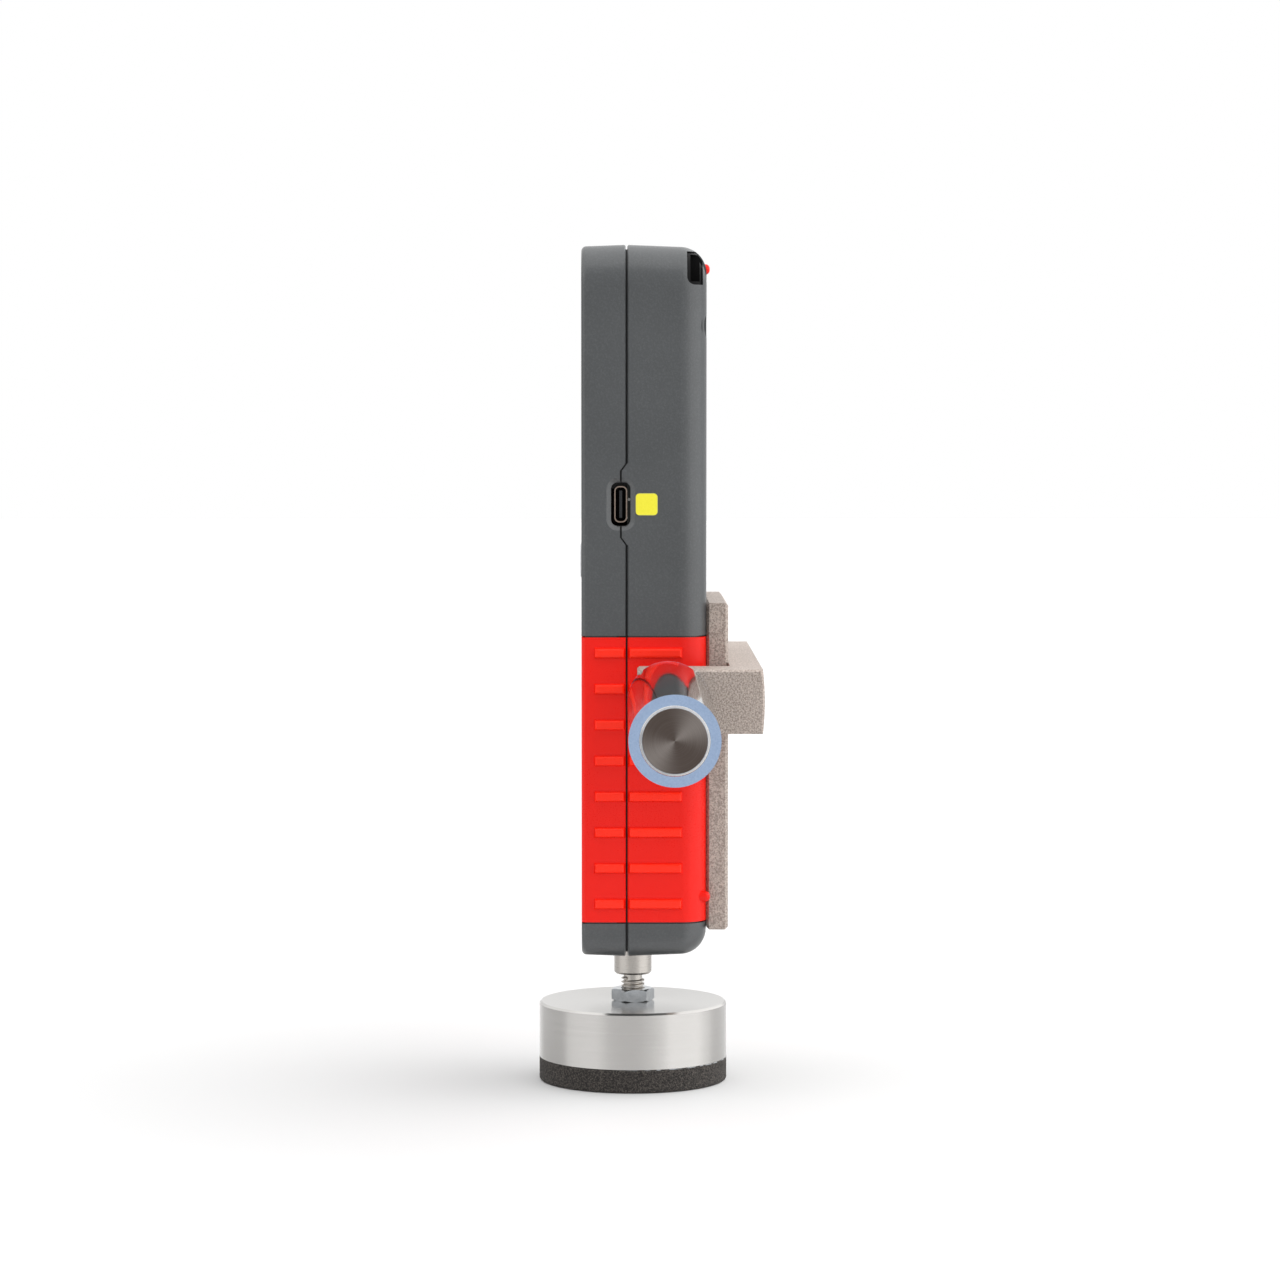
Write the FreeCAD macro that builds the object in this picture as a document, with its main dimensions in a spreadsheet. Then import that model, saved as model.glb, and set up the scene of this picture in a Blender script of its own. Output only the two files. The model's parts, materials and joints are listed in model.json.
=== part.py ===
import FreeCAD, Part
import Sketcher
import math
import os
import re

# Gravestone stability tester: a hand-held force gauge on a padded steel press disc, with a
# mounting plate and a cross bracket that carries two side handles.
# Millimetres. The origin is the centre of the press pad's lower face, on the measuring axis.
# +Z is up, the display faces -Y, the mounting plate is on the +Y side, the socket on the +X side.

doc = FreeCAD.newDocument("StabilityTester")
sheet = doc.addObject("Spreadsheet::Sheet", "Sizes")

SIZES = [
    # Measuring foot
    ("pad_diameter", 48.2, "foam press pad"),
    ("pad_thickness", 6.0, "foam press pad"),
    ("disc_diameter", 47.9, "steel press disc"),
    ("disc_thickness", 14.2, "steel press disc"),
    ("disc_chamfer", 0.5, "upper edge of the disc"),
    ("stud_diameter", 6.0, "thread size of the stud"),
    ("stud_engagement", 9.0, "stud in the disc, and in the shaft"),
    ("stud_show", 7.0, "height from the disc to the shaft"),
    ("thread_clearance", 0.05, "between a thread and its hole, on the radius"),
    ("nut_flats", 9.6, "lock nut across its flats"),
    ("nut_height", 3.2, "lock nut"),
    ("shaft_diameter", 9.6, "measuring shaft"),
    ("shaft_show", 8.2, "shaft below the housing"),
    ("shaft_chamfer", 0.5, "lower edge of the shaft"),
    ("shaft_clearance", 0.4, "round the shaft in the housing"),
    # Housing
    ("shell_width", 74.0, "housing, side to side"),
    ("shell_height", 176.8, "housing, end to end at the parting line"),
    ("shell_top", "=pad_thickness + disc_thickness + stud_show + shaft_show + shell_height", "its upper end"),
    ("shell_front", 12.8, "measuring axis to the front face"),
    ("shell_back", 18.1, "measuring axis to the back face"),
    ("parting_forward", 1.65, "measuring axis to the parting line"),
    ("parting_gap", 0.45, "open groove between the shells"),
    ("front_end_drop", 0.4, "how far each end slopes in by the front face"),
    ("back_end_drop", 0.75, "how far each end slopes in by the back face"),
    ("wall", 2.2, "shell wall"),
    ("outline_radius", 10.0, "housing corners seen from the front"),
    ("back_edge_radius", 6.5, "rounded edge of the back face"),
    ("front_edge_radius", 1.2, "rounded edge of the front face"),
    ("rim_bevel", 0.3, "shell rims at the parting line"),
    ("lip_height", 2.0, "locating lip of the back shell"),
    ("lip_clearance", 0.1, "round the lip"),
    ("lip_end_gap", 0.15, "beyond the lip"),
    ("jog_depth", 1.42, "how far the parting line steps forward at the socket"),
    ("jog_inner", 8.2, "socket centre to the inner end of the step"),
    ("jog_outer", 10.1, "socket centre to the outer end of the step"),
    # Socket
    ("usb_height", 148.3, "height of the socket centre"),
    ("usb_forward", 3.1, "measuring axis to the socket centre"),
    ("usb_width", 8.94, "socket shell, long side"),
    ("usb_thickness", 3.16, "socket shell, short side"),
    ("usb_wall", 0.3, "sheet of the socket shell"),
    ("usb_depth", 7.6, "socket shell, mouth to back"),
    ("usb_inset", 0.8, "socket mouth behind the side face"),
    ("tongue_width", 6.7, "contact tongue"),
    ("tongue_thickness", 0.7, "contact tongue"),
    ("tongue_inset", 0.6, "tongue tip behind the socket mouth"),
    ("recess_width", 10.7, "opening in the shells round the socket, along the height"),
    ("recess_thickness", 4.8, "opening in the shells round the socket, front to back"),
    ("recess_radius", 1.6, "corners of that opening"),
    ("flare_reach", 1.1, "dished rim round the opening"),
    ("flare_depth", 0.7, "dished rim round the opening"),
    ("tag_size", 5.4, "square tag beside the socket"),
    ("tag_radius", 1.0, "corners of the tag"),
    ("tag_film", 0.15, "thickness of the tag"),
    ("tag_back", 3.26, "measuring axis to the tag centre"),
    # Soft grips
    ("grip_bottom", 44.7, "lower end of the grips"),
    ("grip_height", 71.2, "length of the grips"),
    ("grip_thickness", 1.0, "depth of the grips in the shells"),
    ("grip_reach", 8.0, "how far the grips reach round onto the front and back faces"),
    ("grip_wrap", "=shell_width / 2 - grip_reach", "centre line to the grip's edge on those faces"),
    ("grip_gap", 0.35, "fine groove round each grip"),
    ("rib_count", 8, "ribs on each side"),
    ("rib_first", 49.62, "height of the lowest rib"),
    ("rib_pitch", 8.87, "rib to rib"),
    ("rib_height", 3.1, "rib, across"),
    ("rib_proud", 0.9, "rib above the grip"),
    ("rib_front", 9.9, "measuring axis to the rib's front end"),
    ("rib_back", 12.3, "measuring axis to the rib's back end"),
    ("rib_slope", 25.0, "slope of the rib's flanks, degrees"),
    ("rib_round", 0.45, "rounded edges of the ribs"),
    # Load cell and its frame
    ("frame_margin", 18.0, "load frame to the housing's side"),
    ("frame_width", "=shell_width - frame_margin * 2", "load frame"),
    ("cell_margin", 1.0, "load cell to the side of the load frame"),
    ("cell_width", "=frame_width - cell_margin * 2", "load cell, side to side"),
    ("cell_height", 50.0, "load cell, end to end"),
    ("cell_thickness", 12.0, "load cell, front to back"),
    ("cell_rise", 11.0, "housing's lower end to the cell"),
    ("cell_slot", 1.5, "saw cuts in the cell"),
    ("cell_arm", 14.0, "thickness of the cell's upper and lower arm"),
    ("cell_web", 4.0, "metal left at the end of each saw cut"),
    ("cell_window_width", 14.0, "sensing window in the cell"),
    ("cell_window_height", 11.0, "sensing window in the cell"),
    ("frame_thickness", 6.2, "upright of the load frame"),
    ("frame_bottom", 45.5, "lower end of the load frame"),
    ("frame_top", 121.0, "upper end of the load frame"),
    ("ledge_margin", 5.0, "ledge to the side of the load cell"),
    ("ledge_width", "=cell_width - ledge_margin * 2", "ledge of the load frame"),
    ("ledge_thickness", 8.0, "ledge of the load frame"),
    ("cap_head_diameter", 10.0, "head of a six-millimetre cap screw"),
    ("cap_head_height", 6.0, "head of a six-millimetre cap screw"),
    ("hex_key", 5.0, "hexagon socket of a six-millimetre cap screw"),
    ("cell_screw_length", 17.0, "cell screw under its head"),
    ("lead_diameter", 2.4, "cell lead"),
    ("lead_margin", 2.5, "cell lead to the side of the load cell"),
    ("lead_side", "=cell_width / 2 - lead_margin", "centre line to the cell lead"),
    ("lead_back", 2.6, "measuring axis to the cell lead"),
    ("plug_width", 7.0, "cell lead plug"),
    ("plug_height", 4.5, "cell lead plug"),
    ("plug_depth", 5.0, "cell lead plug"),
    # Electronics
    ("board_thickness", 1.6, "main board"),
    ("board_margin", 11.5, "main board to the housing's side"),
    ("board_width", "=shell_width - board_margin * 2", "main board"),
    ("board_bottom", 118.0, "lower edge of the main board"),
    ("board_below_top", 5.1, "housing's upper end to the main board"),
    ("board_top", "=shell_top - board_below_top", "upper edge of the main board"),
    ("board_tab_margin", 4.0, "socket tab of the board to the housing's side"),
    ("board_tab_reach", "=shell_width / 2 - board_tab_margin", "centre line to the edge of that tab"),
    ("board_tab_height", 13.0, "socket tab of the board"),
    ("post_diameter", 6.0, "board posts"),
    ("post_inset", 3.0, "board's side edge to the board posts"),
    ("post_side", "=board_width / 2 - post_inset", "centre line to the board posts"),
    ("post_low", 127.5, "height of the lower board posts"),
    ("post_drop", 3.8, "board's upper edge to the upper board posts"),
    ("post_high", "=board_top - post_drop", "height of the upper board posts"),
    ("board_screw_diameter", 2.5, "board screw"),
    ("board_screw_head", 4.6, "board screw head"),
    ("board_screw_head_height", 1.5, "board screw head"),
    ("board_screw_length", 8.0, "board screw under its head"),
    ("battery_margin", 16.0, "battery pack to the housing's side"),
    ("battery_width", "=shell_width - battery_margin * 2", "battery pack"),
    ("battery_thickness", 8.0, "battery pack"),
    ("battery_bottom", 132.0, "lower edge of the battery pack"),
    ("battery_below_top", 16.1, "housing's upper end to the battery pack"),
    ("battery_height", "=shell_top - battery_below_top - battery_bottom", "battery pack"),
    ("contact_width", 12.0, "battery contact block"),
    ("contact_height", 5.0, "battery contact block"),
    # Display
    ("window_margin", 12.0, "display window to the housing's side"),
    ("window_width", "=shell_width - window_margin * 2", "display window"),
    ("window_bottom", 152.0, "lower edge of the display window"),
    ("window_below_top", 12.1, "housing's upper end to the display window"),
    ("window_height", "=shell_top - window_below_top - window_bottom", "display window"),
    ("window_thickness", 1.2, "display window"),
    ("window_radius", 2.0, "corners of the display window"),
    ("window_ledge", 1.6, "seat of the window round the opening"),
    ("window_clearance", 0.1, "round the window"),
    ("panel_thickness", 2.2, "display panel"),
    ("carrier_wall", 1.5, "walls of the display carrier"),
    # Keys
    ("key_count", 4, "keys in the row"),
    ("key_margin", 16.0, "outermost key to the housing's side"),
    ("key_pitch", "=(shell_width - key_margin * 2) / (key_count - 1)", "key to key"),
    ("key_between", 3.0, "space between two keys"),
    ("key_width", "=key_pitch - key_between", "key, side to side"),
    ("key_height", 8.0, "key, top to bottom"),
    ("key_radius", 2.0, "corners of the keys"),
    ("key_level", 134.0, "height of the key row"),
    ("key_proud", 0.3, "key above the front face"),
    ("key_clearance", 0.2, "round a key"),
    ("key_flange", 0.8, "how far the hidden flange of a key stands out"),
    ("key_flange_thickness", 1.2, "hidden flange of a key"),
    ("key_rest_gap", 0.05, "flange to the inside of the front shell"),
    ("key_stem", 3.0, "stem of a key"),
    ("switch_size", 6.0, "switch body, square"),
    ("switch_depth", 3.5, "switch body, front to back"),
    ("switch_well", 2.2, "hole in the switch body for its plunger"),
    ("plunger_diameter", 3.0, "switch plunger"),
    ("plunger_proud", 1.2, "plunger in front of the switch body"),
    ("plunger_sunk", 1.0, "plunger inside the switch body"),
    ("plunger_clearance", 0.15, "round the plunger in its switch"),
    # Housing screws
    ("shell_screw_diameter", 3.0, "housing screw"),
    ("shell_screw_head", 5.6, "housing screw head"),
    ("shell_screw_head_height", 2.2, "housing screw head"),
    ("shell_screw_hole", 0.2, "round a housing screw in the back shell"),
    ("shell_screw_sink", 3.0, "screw seat below the back face"),
    ("shell_screw_bite", 6.5, "housing screw inside the front shell"),
    ("back_boss_diameter", 8.4, "screw bosses of the back shell"),
    ("front_boss_diameter", 7.0, "screw bosses of the front shell"),
    ("boss_low_margin", 12.5, "housing's side to the lower bosses"),
    ("boss_low_side", "=shell_width / 2 - boss_low_margin", "centre line to the lower bosses"),
    ("boss_low_level", 50.0, "height of the lower bosses"),
    ("boss_high_margin", 6.7, "housing's side to the upper bosses"),
    ("boss_high_side", "=shell_width / 2 - boss_high_margin", "centre line to the upper bosses"),
    ("boss_below_top", 20.1, "housing's upper end to the upper bosses"),
    ("boss_high_level", "=shell_top - boss_below_top", "height of the upper bosses"),
    # Rear feet and strap eyelets
    ("foot_diameter", 2.6, "rear foot"),
    ("foot_low_margin", 3.2, "housing's side to the lower rear feet"),
    ("foot_low_side", "=shell_width / 2 - foot_low_margin", "centre line to the lower rear feet"),
    ("foot_high_margin", 11.2, "housing's side to the upper rear feet"),
    ("foot_high_side", "=shell_width / 2 - foot_high_margin", "centre line to the upper rear feet"),
    ("foot_low", 51.1, "height of the lower rear feet"),
    ("foot_below_top", 6.0, "housing's upper end to the upper rear feet"),
    ("foot_high", "=shell_top - foot_below_top", "height of the upper rear feet"),
    ("foot_proud", 0.85, "rear foot behind the back face"),
    ("foot_sunk", 0.98, "upper rear foot below the back face"),
    ("foot_low_sunk", 2.1, "root of a lower rear foot below the back face"),
    ("foot_clearance", 0.1, "round that root in the shell"),
    ("eyelet_forward", 13.2, "measuring axis to the eyelet's front wall"),
    ("eyelet_below_top", 10.1, "housing's upper end to the eyelet's lower end"),
    ("eyelet_bottom", "=shell_top - eyelet_below_top", "lower end of the eyelet"),
    ("eyelet_height", 8.3, "height of the eyelet"),
    ("eyelet_depth", 9.5, "eyelet into the side"),
    ("eyelet_radius", 2.0, "lower front corner of the eyelet"),
    ("eyelet_wall", 0.8, "lining of the eyelet"),
    ("eyelet_back", 17.1, "measuring axis to the lining's back edge"),
    ("eyelet_inset", 0.3, "lining behind the housing's surface"),
    ("eyelet_slot", 3.2, "strap slot in the back face, side to side"),
    # Mounting plate and bracket
    ("plate_margin", 5.0, "mounting plate to the housing's side"),
    ("plate_width", "=shell_width - plate_margin * 2", "mounting plate"),
    ("plate_height", 81.2, "mounting plate"),
    ("plate_thickness", 5.4, "mounting plate"),
    ("plate_bottom", 42.6, "lower edge of the mounting plate"),
    ("plate_bevel", 0.7, "broken edges of the plate"),
    ("plate_screw_diameter", 5.0, "plate screw"),
    ("plate_screw_head", 9.4, "countersunk head of a plate screw"),
    ("plate_screw_sink", 2.6, "depth of that head"),
    ("plate_screw_margin", 6.0, "plate screws to the side of the load frame"),
    ("plate_screw_side", "=frame_width / 2 - plate_screw_margin", "centre line to the plate screws"),
    ("plate_screw_inset", 7.3, "plate edge to the plate screws"),
    ("plate_screw_length", 12.0, "plate screw, end to end"),
    ("plate_hole_clearance", 0.25, "round a plate screw in the plate and the shell"),
    ("small_hex_key", 3.0, "hexagon socket of the smaller screws"),
    ("bracket_height", 15.5, "cross bracket, up and down"),
    ("bracket_level", 101.3, "height of the bracket's middle"),
    ("bracket_front", 0.9, "measuring axis to the front of the arms"),
    ("bracket_back", 31.1, "measuring axis to the bracket's back edges"),
    ("bracket_crown", 0.45, "rise of the bracket's back in its middle"),
    ("arm_thickness", 15.0, "arms of the bracket"),
    ("finger_gap", 8.0, "housing's side to the arms"),
    ("bracket_width", "=shell_width + (finger_gap + arm_thickness) * 2", "cross bracket, side to side"),
    ("arm_radius", 1.0, "front corners of the arms"),
    ("bracket_bevel", 0.5, "broken edges of the bracket"),
    ("bracket_screw_diameter", 5.0, "bracket screw"),
    ("bracket_screw_head", 8.5, "head of a bracket screw"),
    ("bracket_screw_head_height", 5.0, "head of a bracket screw"),
    ("bracket_screw_side", 18.0, "centre line to the bracket screws"),
    ("bracket_screw_bite", 4.2, "bracket screw inside the plate"),
    ("head_clearance", 0.3, "round a sunk screw head"),
    # Handles
    ("handle_back", 8.3, "measuring axis to the handles"),
    ("rod_diameter", 15.0, "handle rod"),
    ("rod_length", 113.0, "handle rod"),
    ("rod_chamfer", 0.6, "outer end of the rod"),
    ("tube_diameter", 19.7, "clear tube"),
    ("tube_clearance", 0.05, "between the tube and the rod"),
    ("handle_screw_length", 27.0, "handle screw under its head"),
    ("handle_head_height", 4.0, "low head of a handle screw"),
]

for row, (alias, value, note) in enumerate(SIZES, start=1):
    sheet.set(f"A{row}", alias)
    sheet.set(f"B{row}", str(value))
    sheet.set(f"C{row}", note)
    sheet.setAlias(f"B{row}", alias)
doc.recompute()

probe = doc.addObject("App::FeaturePython", "Probe")
probe.addProperty("App::PropertyFloat", "Amount")

# Levels that several pieces share
DISC_TOP = "(pad_thickness + disc_thickness)"
SHAFT_BOTTOM = f"({DISC_TOP} + stud_show)"
SHELL_BOTTOM = f"({SHAFT_BOTTOM} + shaft_show)"
SHELL_TOP = "shell_top"
SHELL_MIDDLE = f"({SHELL_BOTTOM} + shell_height / 2)"
SIDE = "(shell_width / 2)"
FRONT_FACE = "(-shell_front)"
FRONT_INSIDE = "(wall - shell_front)"
FRONT_RIM = "(-parting_forward - parting_gap / 2)"
BACK_RIM = "(parting_gap / 2 - parting_forward)"
BACK_INSIDE = "(shell_back - wall)"
CELL_BOTTOM = f"({SHELL_BOTTOM} + cell_rise)"
CELL_TOP = f"({CELL_BOTTOM} + cell_height)"
BOARD_FRONT = "(usb_thickness / 2 - usb_forward)"
BOARD_BACK = f"({BOARD_FRONT} + board_thickness)"
PANEL_BACK = f"({FRONT_INSIDE} + panel_thickness)"
SWITCH_FRONT = f"({BOARD_FRONT} - switch_depth)"
KEY_SEAT = f"({FRONT_INSIDE} + key_rest_gap)"
PLATE_BACK = "(shell_back + plate_thickness)"
PLATE_TOP = "(plate_bottom + plate_height)"
BRACKET_SIDE = "(bracket_width / 2)"
SHELL_SCREW_SEAT = "(shell_back - shell_screw_sink)"
BEYOND = "5"


def named(expression):
    """The expression with every size written as a cell of the sheet."""
    return re.sub(r"\b([a-z][a-z_]*[a-z])\b(?!\()", r"Sizes.\1", expression)


def bind(thing, path, expression):
    thing.setExpression(path, named(expression))


def number(expression):
    """What an expression comes to."""
    bind(probe, "Amount", expression)
    probe.recompute()
    return probe.Amount


def new_body(label):
    body = doc.addObject("PartDesign::Body", label)
    body.Label = label
    return body


def new_sketch(body, plane, level="0"):
    """A sketch on the XY, XZ or YZ plane, moved along that plane's axis to a level."""
    sketch = body.newObject("Sketcher::SketchObject", f"{body.Label}_{plane}")
    origin_plane = next(f for f in body.Origin.OriginFeatures if f.Role == f"{plane}_Plane")
    sketch.AttachmentSupport = (origin_plane, [""])
    sketch.MapMode = "FlatFace"
    bind(sketch, "AttachmentOffset.Base.z", f"-({level})" if plane == "XZ" else level)
    return sketch


def place_point(sketch, geometry, point, across, up):
    for kind, expression in (("DistanceX", across), ("DistanceY", up)):
        value = number(expression)
        constraint = Sketcher.Constraint(kind, -1, 1, geometry, point, value)
        bind(sketch, f"Constraints[{sketch.addConstraint(constraint)}]", expression)


def polygon(sketch, corners, arcs=None):
    """A closed outline, every corner tied to the sheet.

    A side is straight, unless arcs gives its radius and its turn: 1 to the left, -1 to the right.
    """
    arcs = arcs or {}
    points = [FreeCAD.Vector(number(across), number(up), 0) for across, up in corners]
    count = len(corners)
    sides = []
    for index, start in enumerate(points):
        end = points[(index + 1) % count]
        if index not in arcs:
            sides.append((sketch.addGeometry(Part.LineSegment(start, end)), 1, 2))
            continue
        radius, turn = number(arcs[index][0]), arcs[index][1]
        chord = end - start
        rise = math.sqrt(radius ** 2 - chord.Length ** 2 / 4) * turn / chord.Length
        centre = (start + end) / 2 + FreeCAD.Vector(-chord.y, chord.x, 0) * rise
        first, last = (start, end) if turn > 0 else (end, start)
        angles = [math.atan2(point.y - centre.y, point.x - centre.x) for point in (first, last)]
        arc = Part.ArcOfCircle(Part.Circle(centre, FreeCAD.Vector(0, 0, 1), radius), *angles)
        sides.append((sketch.addGeometry(arc), 1, 2) if turn > 0 else (sketch.addGeometry(arc), 2, 1))
    for index, (side, start, end) in enumerate(sides):
        after, after_start, _ = sides[(index + 1) % count]
        sketch.addConstraint(Sketcher.Constraint("Coincident", side, end, after, after_start))
        place_point(sketch, side, start, *corners[index])
    for index, (radius, _) in arcs.items():
        constraint = Sketcher.Constraint("Radius", sides[index][0], number(radius))
        bind(sketch, f"Constraints[{sketch.addConstraint(constraint)}]", radius)


def rectangle(sketch, left, right, low, high):
    polygon(sketch, [(left, low), (right, low), (right, high), (left, high)])


def circle(sketch, across, up, diameter):
    centre = FreeCAD.Vector(number(across), number(up), 0)
    geometry = sketch.addGeometry(Part.Circle(centre, FreeCAD.Vector(0, 0, 1), number(diameter) / 2))
    place_point(sketch, geometry, 3, across, up)
    constraint = Sketcher.Constraint("Diameter", geometry, number(diameter))
    bind(sketch, f"Constraints[{sketch.addConstraint(constraint)}]", diameter)


def rounded_rectangle(sketch, across, up, width, height, radius):
    """A rectangle with round corners about a centre, from four lines and four arcs."""
    x, y, r = number(across), number(up), number(radius)
    half_x, half_y = number(width) / 2 - r, number(height) / 2 - r
    quarter = math.pi / 2
    normal = FreeCAD.Vector(0, 0, 1)
    centres = [
        FreeCAD.Vector(x + sign_x * half_x, y + sign_y * half_y, 0)
        for sign_x, sign_y in ((1, 1), (-1, 1), (-1, -1), (1, -1))
    ]
    arcs = [
        sketch.addGeometry(Part.ArcOfCircle(Part.Circle(c, normal, r), turn * quarter, (turn + 1) * quarter))
        for turn, c in enumerate(centres)
    ]
    lines = []
    for turn, arc in enumerate(arcs):
        start = sketch.Geometry[arc].EndPoint
        end = sketch.Geometry[arcs[(turn + 1) % 4]].StartPoint
        lines.append(sketch.addGeometry(Part.LineSegment(start, end)))
    for turn, line in enumerate(lines):
        sketch.addConstraint(Sketcher.Constraint("Tangent", arcs[turn], 2, line, 1))
        sketch.addConstraint(Sketcher.Constraint("Tangent", line, 2, arcs[(turn + 1) % 4], 1))
        sketch.addConstraint(Sketcher.Constraint("Horizontal" if turn % 2 == 0 else "Vertical", line))
    for arc in arcs[1:]:
        sketch.addConstraint(Sketcher.Constraint("Equal", arcs[0], arc))
    constraint = Sketcher.Constraint("Radius", arcs[0], r)
    bind(sketch, f"Constraints[{sketch.addConstraint(constraint)}]", radius)
    place_point(sketch, arcs[0], 3, f"{across} + {width} / 2 - {radius}", f"{up} + {height} / 2 - {radius}")
    place_point(sketch, arcs[2], 3, f"{across} - {width} / 2 + {radius}", f"{up} - {height} / 2 + {radius}")


def extrude(kind, body, sketch, length, direction, taper):
    """A pad or pocket from the sketch: direction 1 or -1 along the plane's axis, 0 both ways."""
    feature = body.newObject(f"PartDesign::{kind}", f"{body.Label}_{kind}")
    feature.Profile = sketch
    bind(feature, "Length", length)
    if direction == 0:
        feature.Midplane = True
    along_normal = direction if "XZ" not in sketch.Name else -direction
    feature.Reversed = along_normal < 0 if kind == "Pad" else along_normal > 0
    if taper is not None:
        bind(feature, "TaperAngle", taper)
    doc.recompute()
    check(body)
    return feature


def pad(body, sketch, length, direction=1, taper=None):
    return extrude("Pad", body, sketch, length, direction, taper)


def check(body):
    if "Invalid" in body.Tip.State:
        raise RuntimeError(f"{body.Label}: {body.Tip.Label} did not build")


def pocket(body, sketch, length, direction=1):
    before = body.Shape.Volume
    feature = extrude("Pocket", body, sketch, length, direction, None)
    if before - body.Shape.Volume < 1e-6:
        raise RuntimeError(f"{body.Label}: a pocket cuts nothing")
    return feature


def loft_cut(body, outer, inner):
    feature = body.newObject("PartDesign::SubtractiveLoft", f"{body.Label}_Flare")
    feature.Profile = outer
    feature.Sections = [inner]
    feature.Ruled = True
    doc.recompute()
    check(body)


def revolve(body, sketch):
    """Turns the sketch fully round its vertical axis."""
    feature = body.newObject("PartDesign::Revolution", f"{body.Label}_Turned")
    feature.Profile = sketch
    feature.ReferenceAxis = (sketch, ["V_Axis"])
    feature.Angle = 360
    doc.recompute()


def dress(kind, body, size, chosen):
    """Rounds (Fillet) or bevels (Chamfer) the edges of the body's last shape that are chosen."""
    base = body.Tip
    edges = [f"Edge{i}" for i, edge in enumerate(base.Shape.Edges, start=1) if chosen(edge)]
    if not edges:
        raise RuntimeError(f"{body.Label}: no edge to dress")
    feature = body.newObject(f"PartDesign::{kind}", f"{body.Label}_{kind}")
    feature.Base = (base, edges)
    bind(feature, "Radius" if kind == "Fillet" else "Size", size)
    doc.recompute()
    check(body)


def at(value, target):
    return abs(value - target) < 1e-3


def lies_at(edge, axis, value):
    """True where the whole edge keeps one value of X, Y or Z."""
    box = edge.BoundBox
    return at(getattr(box, f"{axis}Min"), value) and at(getattr(box, f"{axis}Max"), value)


def spans(edge, axis, other_axes):
    """True where the edge is longer along the axis than along each other one."""
    box = edge.BoundBox
    reach = getattr(box, f"{axis}Length")
    return all(reach > getattr(box, f"{other}Length") + 1e-3 for other in other_axes)


TURNS = {
    "X": FreeCAD.Rotation(FreeCAD.Vector(0, 1, 0), 90),
    "Y": FreeCAD.Rotation(FreeCAD.Vector(1, 0, 0), -90),
    "Z": FreeCAD.Rotation(),
}


def set_place(thing, x, y, z, axis="Z", turn=0):
    spin = FreeCAD.Rotation(FreeCAD.Vector(0, 0, 1), turn)
    thing.Placement = FreeCAD.Placement(FreeCAD.Vector(0, 0, 0), TURNS[axis].multiply(spin))
    for letter, expression in zip("xyz", (x, y, z)):
        bind(thing, f"Placement.Base.{letter}", expression)


def block(name, x0, x1, y0, y1, z0, z1):
    """A box between named sides."""
    box = doc.addObject("Part::Box", name)
    for side, low, high in (("Length", x0, x1), ("Width", y0, y1), ("Height", z0, z1)):
        bind(box, side, f"{high} - ({low})")
    set_place(box, x0, y0, z0)
    return box


def rod(name, axis, x, y, z, diameter, length):
    """A cylinder that starts at a point and runs along +X, +Y or +Z."""
    cylinder = doc.addObject("Part::Cylinder", name)
    bind(cylinder, "Radius", f"({diameter}) / 2")
    bind(cylinder, "Height", length)
    set_place(cylinder, x, y, z, axis)
    return cylinder


def cone(name, axis, x, y, z, start_diameter, end_diameter, length):
    thing = doc.addObject("Part::Cone", name)
    bind(thing, "Radius1", f"({start_diameter}) / 2")
    bind(thing, "Radius2", f"({end_diameter}) / 2")
    bind(thing, "Height", length)
    set_place(thing, x, y, z, axis)
    return thing


def hexagon(name, axis, x, y, z, flats, length, turn=0):
    prism = doc.addObject("Part::Prism", name)
    prism.Polygon = 6
    bind(prism, "Circumradius", f"({flats}) / sqrt(3)")
    bind(prism, "Height", length)
    set_place(prism, x, y, z, axis, turn)
    return prism


def joined(label, pieces):
    fuse = doc.addObject("Part::MultiFuse", label)
    fuse.Shapes = pieces
    fuse.Label = label
    return fuse


def cut(label, base, tool):
    result = doc.addObject("Part::Cut", label)
    result.Base = base
    result.Tool = tool
    result.Label = label
    return result


def common(label, pieces):
    result = doc.addObject("Part::MultiCommon", label)
    result.Shapes = pieces
    result.Label = label
    return result


def mirrored(label, source):
    """The same piece on the other side of the housing."""
    result = doc.addObject("Part::Mirroring", label)
    result.Source = source
    result.Normal = FreeCAD.Vector(1, 0, 0)
    result.Label = label
    return result


def group(label, pieces):
    """Identical pieces as separate solids of one node."""
    compound = doc.addObject("Part::Compound", label)
    compound.Links = pieces
    compound.Label = label
    return compound


def on_side(sign, expression):
    return f"-({expression})" if sign < 0 else f"({expression})"


nodes = []


def node(piece):
    nodes.append(piece)
    return piece


# Measuring foot
# The pad, the disc, the stud, the nut and the shaft are stacked on the measuring axis.

press_pad = node(rod("press_pad", "Z", "0", "0", "0", "pad_diameter", "pad_thickness"))

press_disc = node(new_body("press_disc"))
outline = new_sketch(press_disc, "XZ")
polygon(outline, [
    ("0", "pad_thickness"),
    ("disc_diameter / 2", "pad_thickness"),
    ("disc_diameter / 2", f"{DISC_TOP} - disc_chamfer"),
    ("disc_diameter / 2 - disc_chamfer", DISC_TOP),
    ("stud_diameter / 2 + thread_clearance", DISC_TOP),
    ("stud_diameter / 2 + thread_clearance", f"{DISC_TOP} - stud_engagement"),
    ("0", f"{DISC_TOP} - stud_engagement"),
])
revolve(press_disc, outline)

stud_bottom = f"({DISC_TOP} - stud_engagement)"
threaded_stud = node(rod(
    "threaded_stud", "Z", "0", "0", stud_bottom, "stud_diameter", "stud_engagement * 2 + stud_show",
))

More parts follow.
